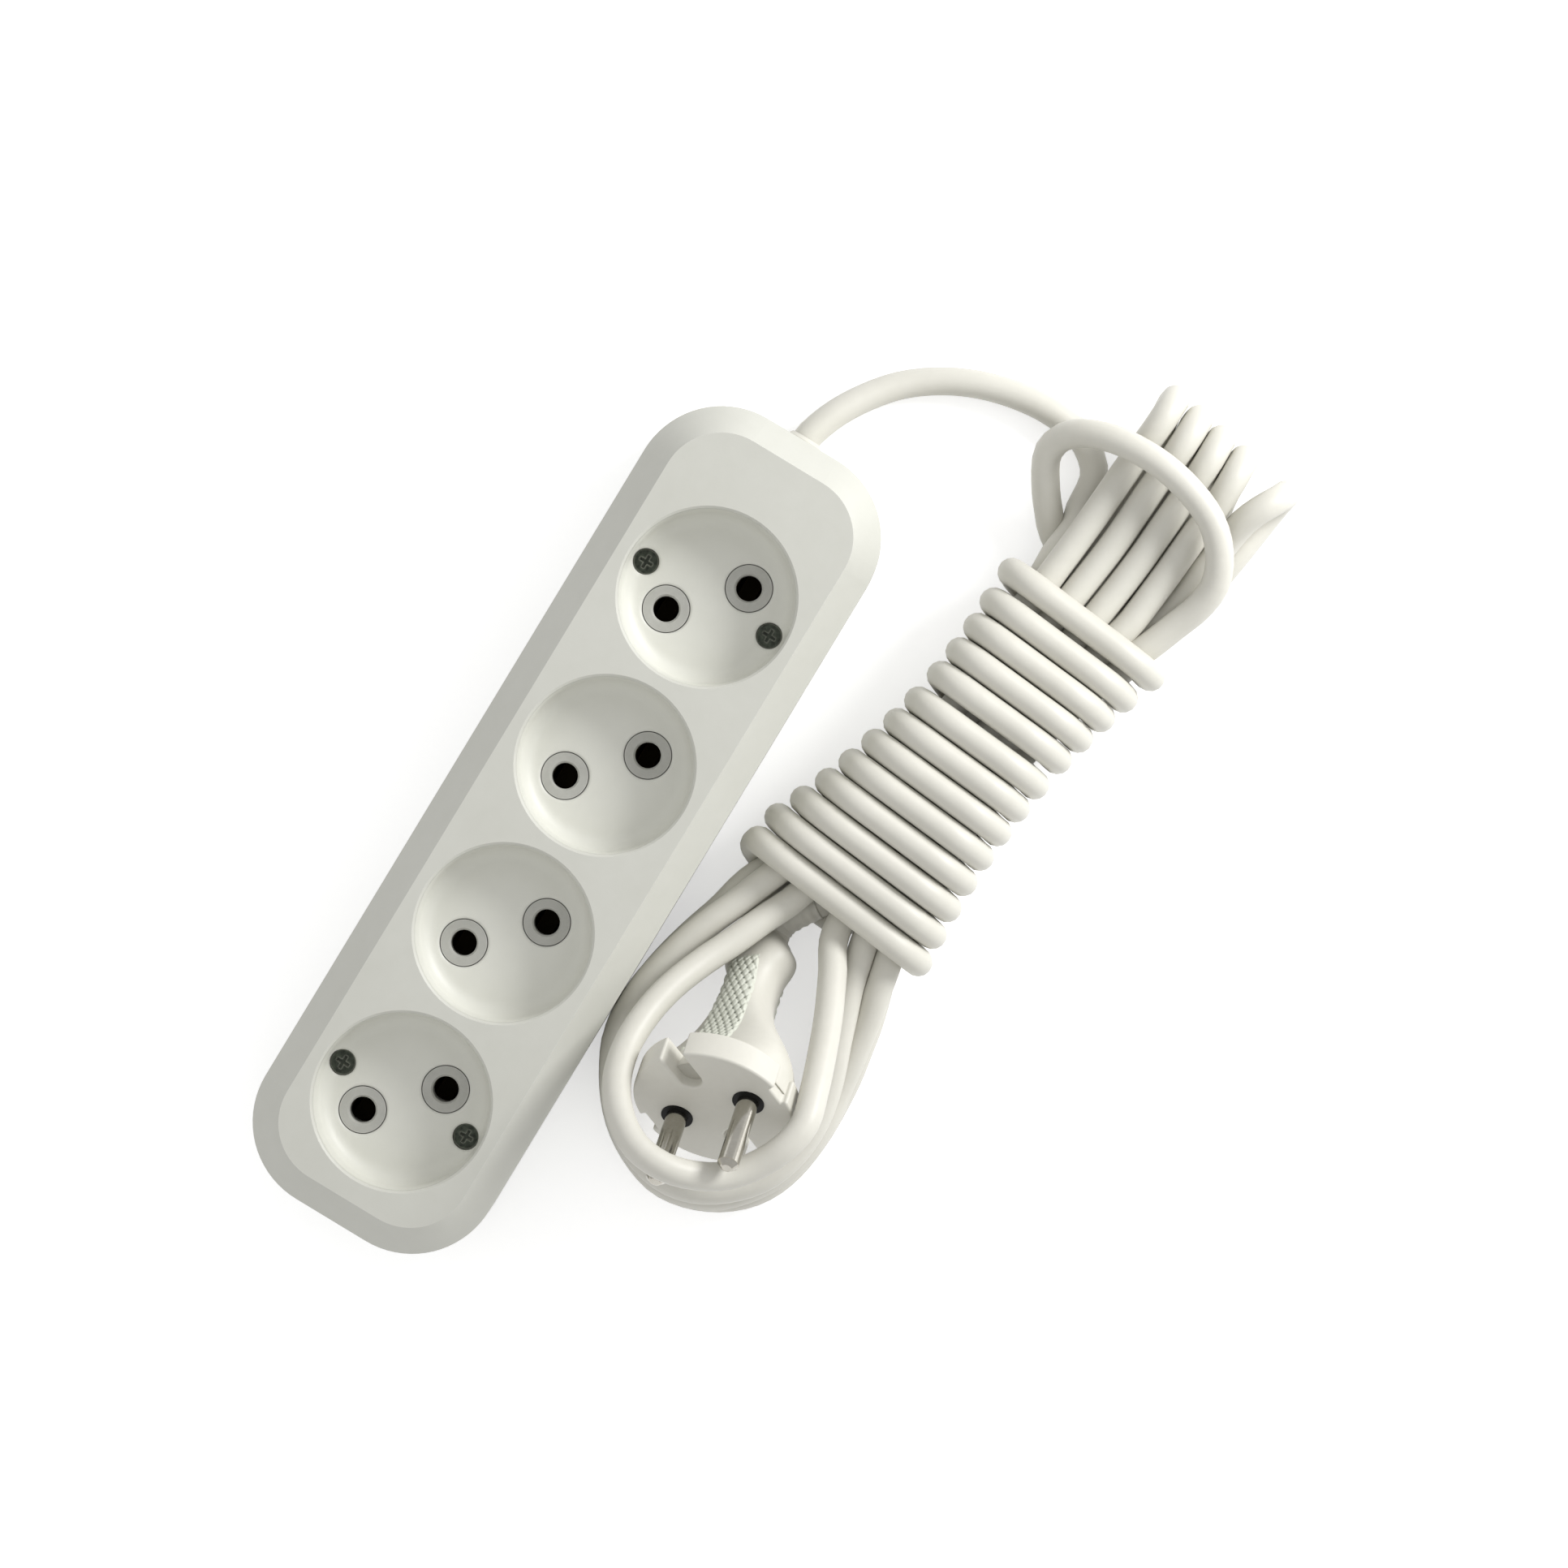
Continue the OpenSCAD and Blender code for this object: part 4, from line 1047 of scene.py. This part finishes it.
heel = [tuple((to_plug_frame @ Vector((0, 0, -z * MM))) / MM) for z in HEEL_BACK]
relief_guide = heel + [tuple(v) for v in to_model(np.array(to_plug[::-1], float))[:3]]
relief_line, relief_place = smooth_line(relief_guide, PARTS_PER_POINT)
radius_at = [0, len(heel) - 1, len(relief_guide) - 1]
relief_radius = [np.interp(s, radius_at, RELIEF_RADII)
                 - RIB_DEPTH * (0.5 - 0.5 * math.cos(s * 2 * math.pi * RIBS_PER_POINT)) for s in relief_place]
relief = tube_piece("cord_relief", relief_line, relief_radius, plug_skin)
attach(relief, "root")
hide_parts("plug_relief")
print("relief from", [round(v, 1) for v in relief_line[0]], "to", [round(v, 1) for v in relief_line[-1]])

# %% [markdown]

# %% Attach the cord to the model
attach(cord, "root")

# %% [markdown]
# ## Floor and light
# A pale floor and a pale world light everything evenly, and one large lamp
# from the cord's side gives the soft shadows. The floor is white in the
# camera's eyes, and in reflections, through the Light Path node, and so
# needs no extra light on the object. It still takes the shadows.

# %% Floor
FLOOR_SIZE, FLOOR_Z, FLOOR_GREY, FLOOR_GLOW = 6, -0.0002, 0.82, 0.5
bpy.ops.mesh.primitive_plane_add(size=FLOOR_SIZE, location=(0, 0, FLOOR_Z))
floor = bpy.context.object
floor.name = "floor"
floor_paint = bpy.data.materials.new("pale_floor")
floor_paint.use_nodes = True
tree = floor_paint.node_tree
matt = tree.nodes["Principled BSDF"]
matt.inputs["Base Color"].default_value = (FLOOR_GREY, FLOOR_GREY, FLOOR_GREY, 1)
matt.inputs["Roughness"].default_value = 0.9
matt.inputs["Specular IOR Level"].default_value = 0.1
glow = tree.nodes.new("ShaderNodeEmission")
rays = tree.nodes.new("ShaderNodeLightPath")
seen = maths(tree, "MAXIMUM", rays.outputs["Is Camera Ray"],
             maths(tree, "MAXIMUM", rays.outputs["Is Glossy Ray"], rays.outputs["Is Transmission Ray"]))
tree.links.new(maths(tree, "MULTIPLY", seen, FLOOR_GLOW), glow.inputs["Strength"])
both = tree.nodes.new("ShaderNodeAddShader")
tree.links.new(matt.outputs["BSDF"], both.inputs[0])
tree.links.new(glow.outputs["Emission"], both.inputs[1])
tree.links.new(both.outputs["Shader"], tree.nodes["Material Output"].inputs["Surface"])
floor.data.materials.append(floor_paint)
print("floor:", FLOOR_SIZE, "m square")

# %% Lamp
LAMP_AT, LAMP_AIM = Vector((0.62, -0.37, 0.36)), Vector((0.02, -0.03, 0.02))
LAMP_SIZE, LAMP_POWER = 0.3, 4.9
light = bpy.data.lights.new("key_lamp", "AREA")
light.shape = "DISK"
light.size = LAMP_SIZE
light.energy = LAMP_POWER
lamp = bpy.data.objects.new("key_lamp", light)
lamp.location = LAMP_AT
lamp.rotation_euler = (LAMP_AIM - LAMP_AT).to_track_quat("-Z", "Y").to_euler()
bpy.context.scene.collection.objects.link(lamp)
print("lamp:", round((LAMP_AIM - LAMP_AT).length, 2), "m away")

# %% World
SKY_STRENGTH = 0.72
world = bpy.data.worlds.new("studio") if bpy.context.scene.world is None else bpy.context.scene.world
bpy.context.scene.world = world
world.use_nodes = True
sky = world.node_tree.nodes["Background"]
sky.inputs["Color"].default_value = (1, 1, 1, 1)
sky.inputs["Strength"].default_value = SKY_STRENGTH
bpy.context.scene.view_settings.view_transform = "Standard"
print("world:", world.name)
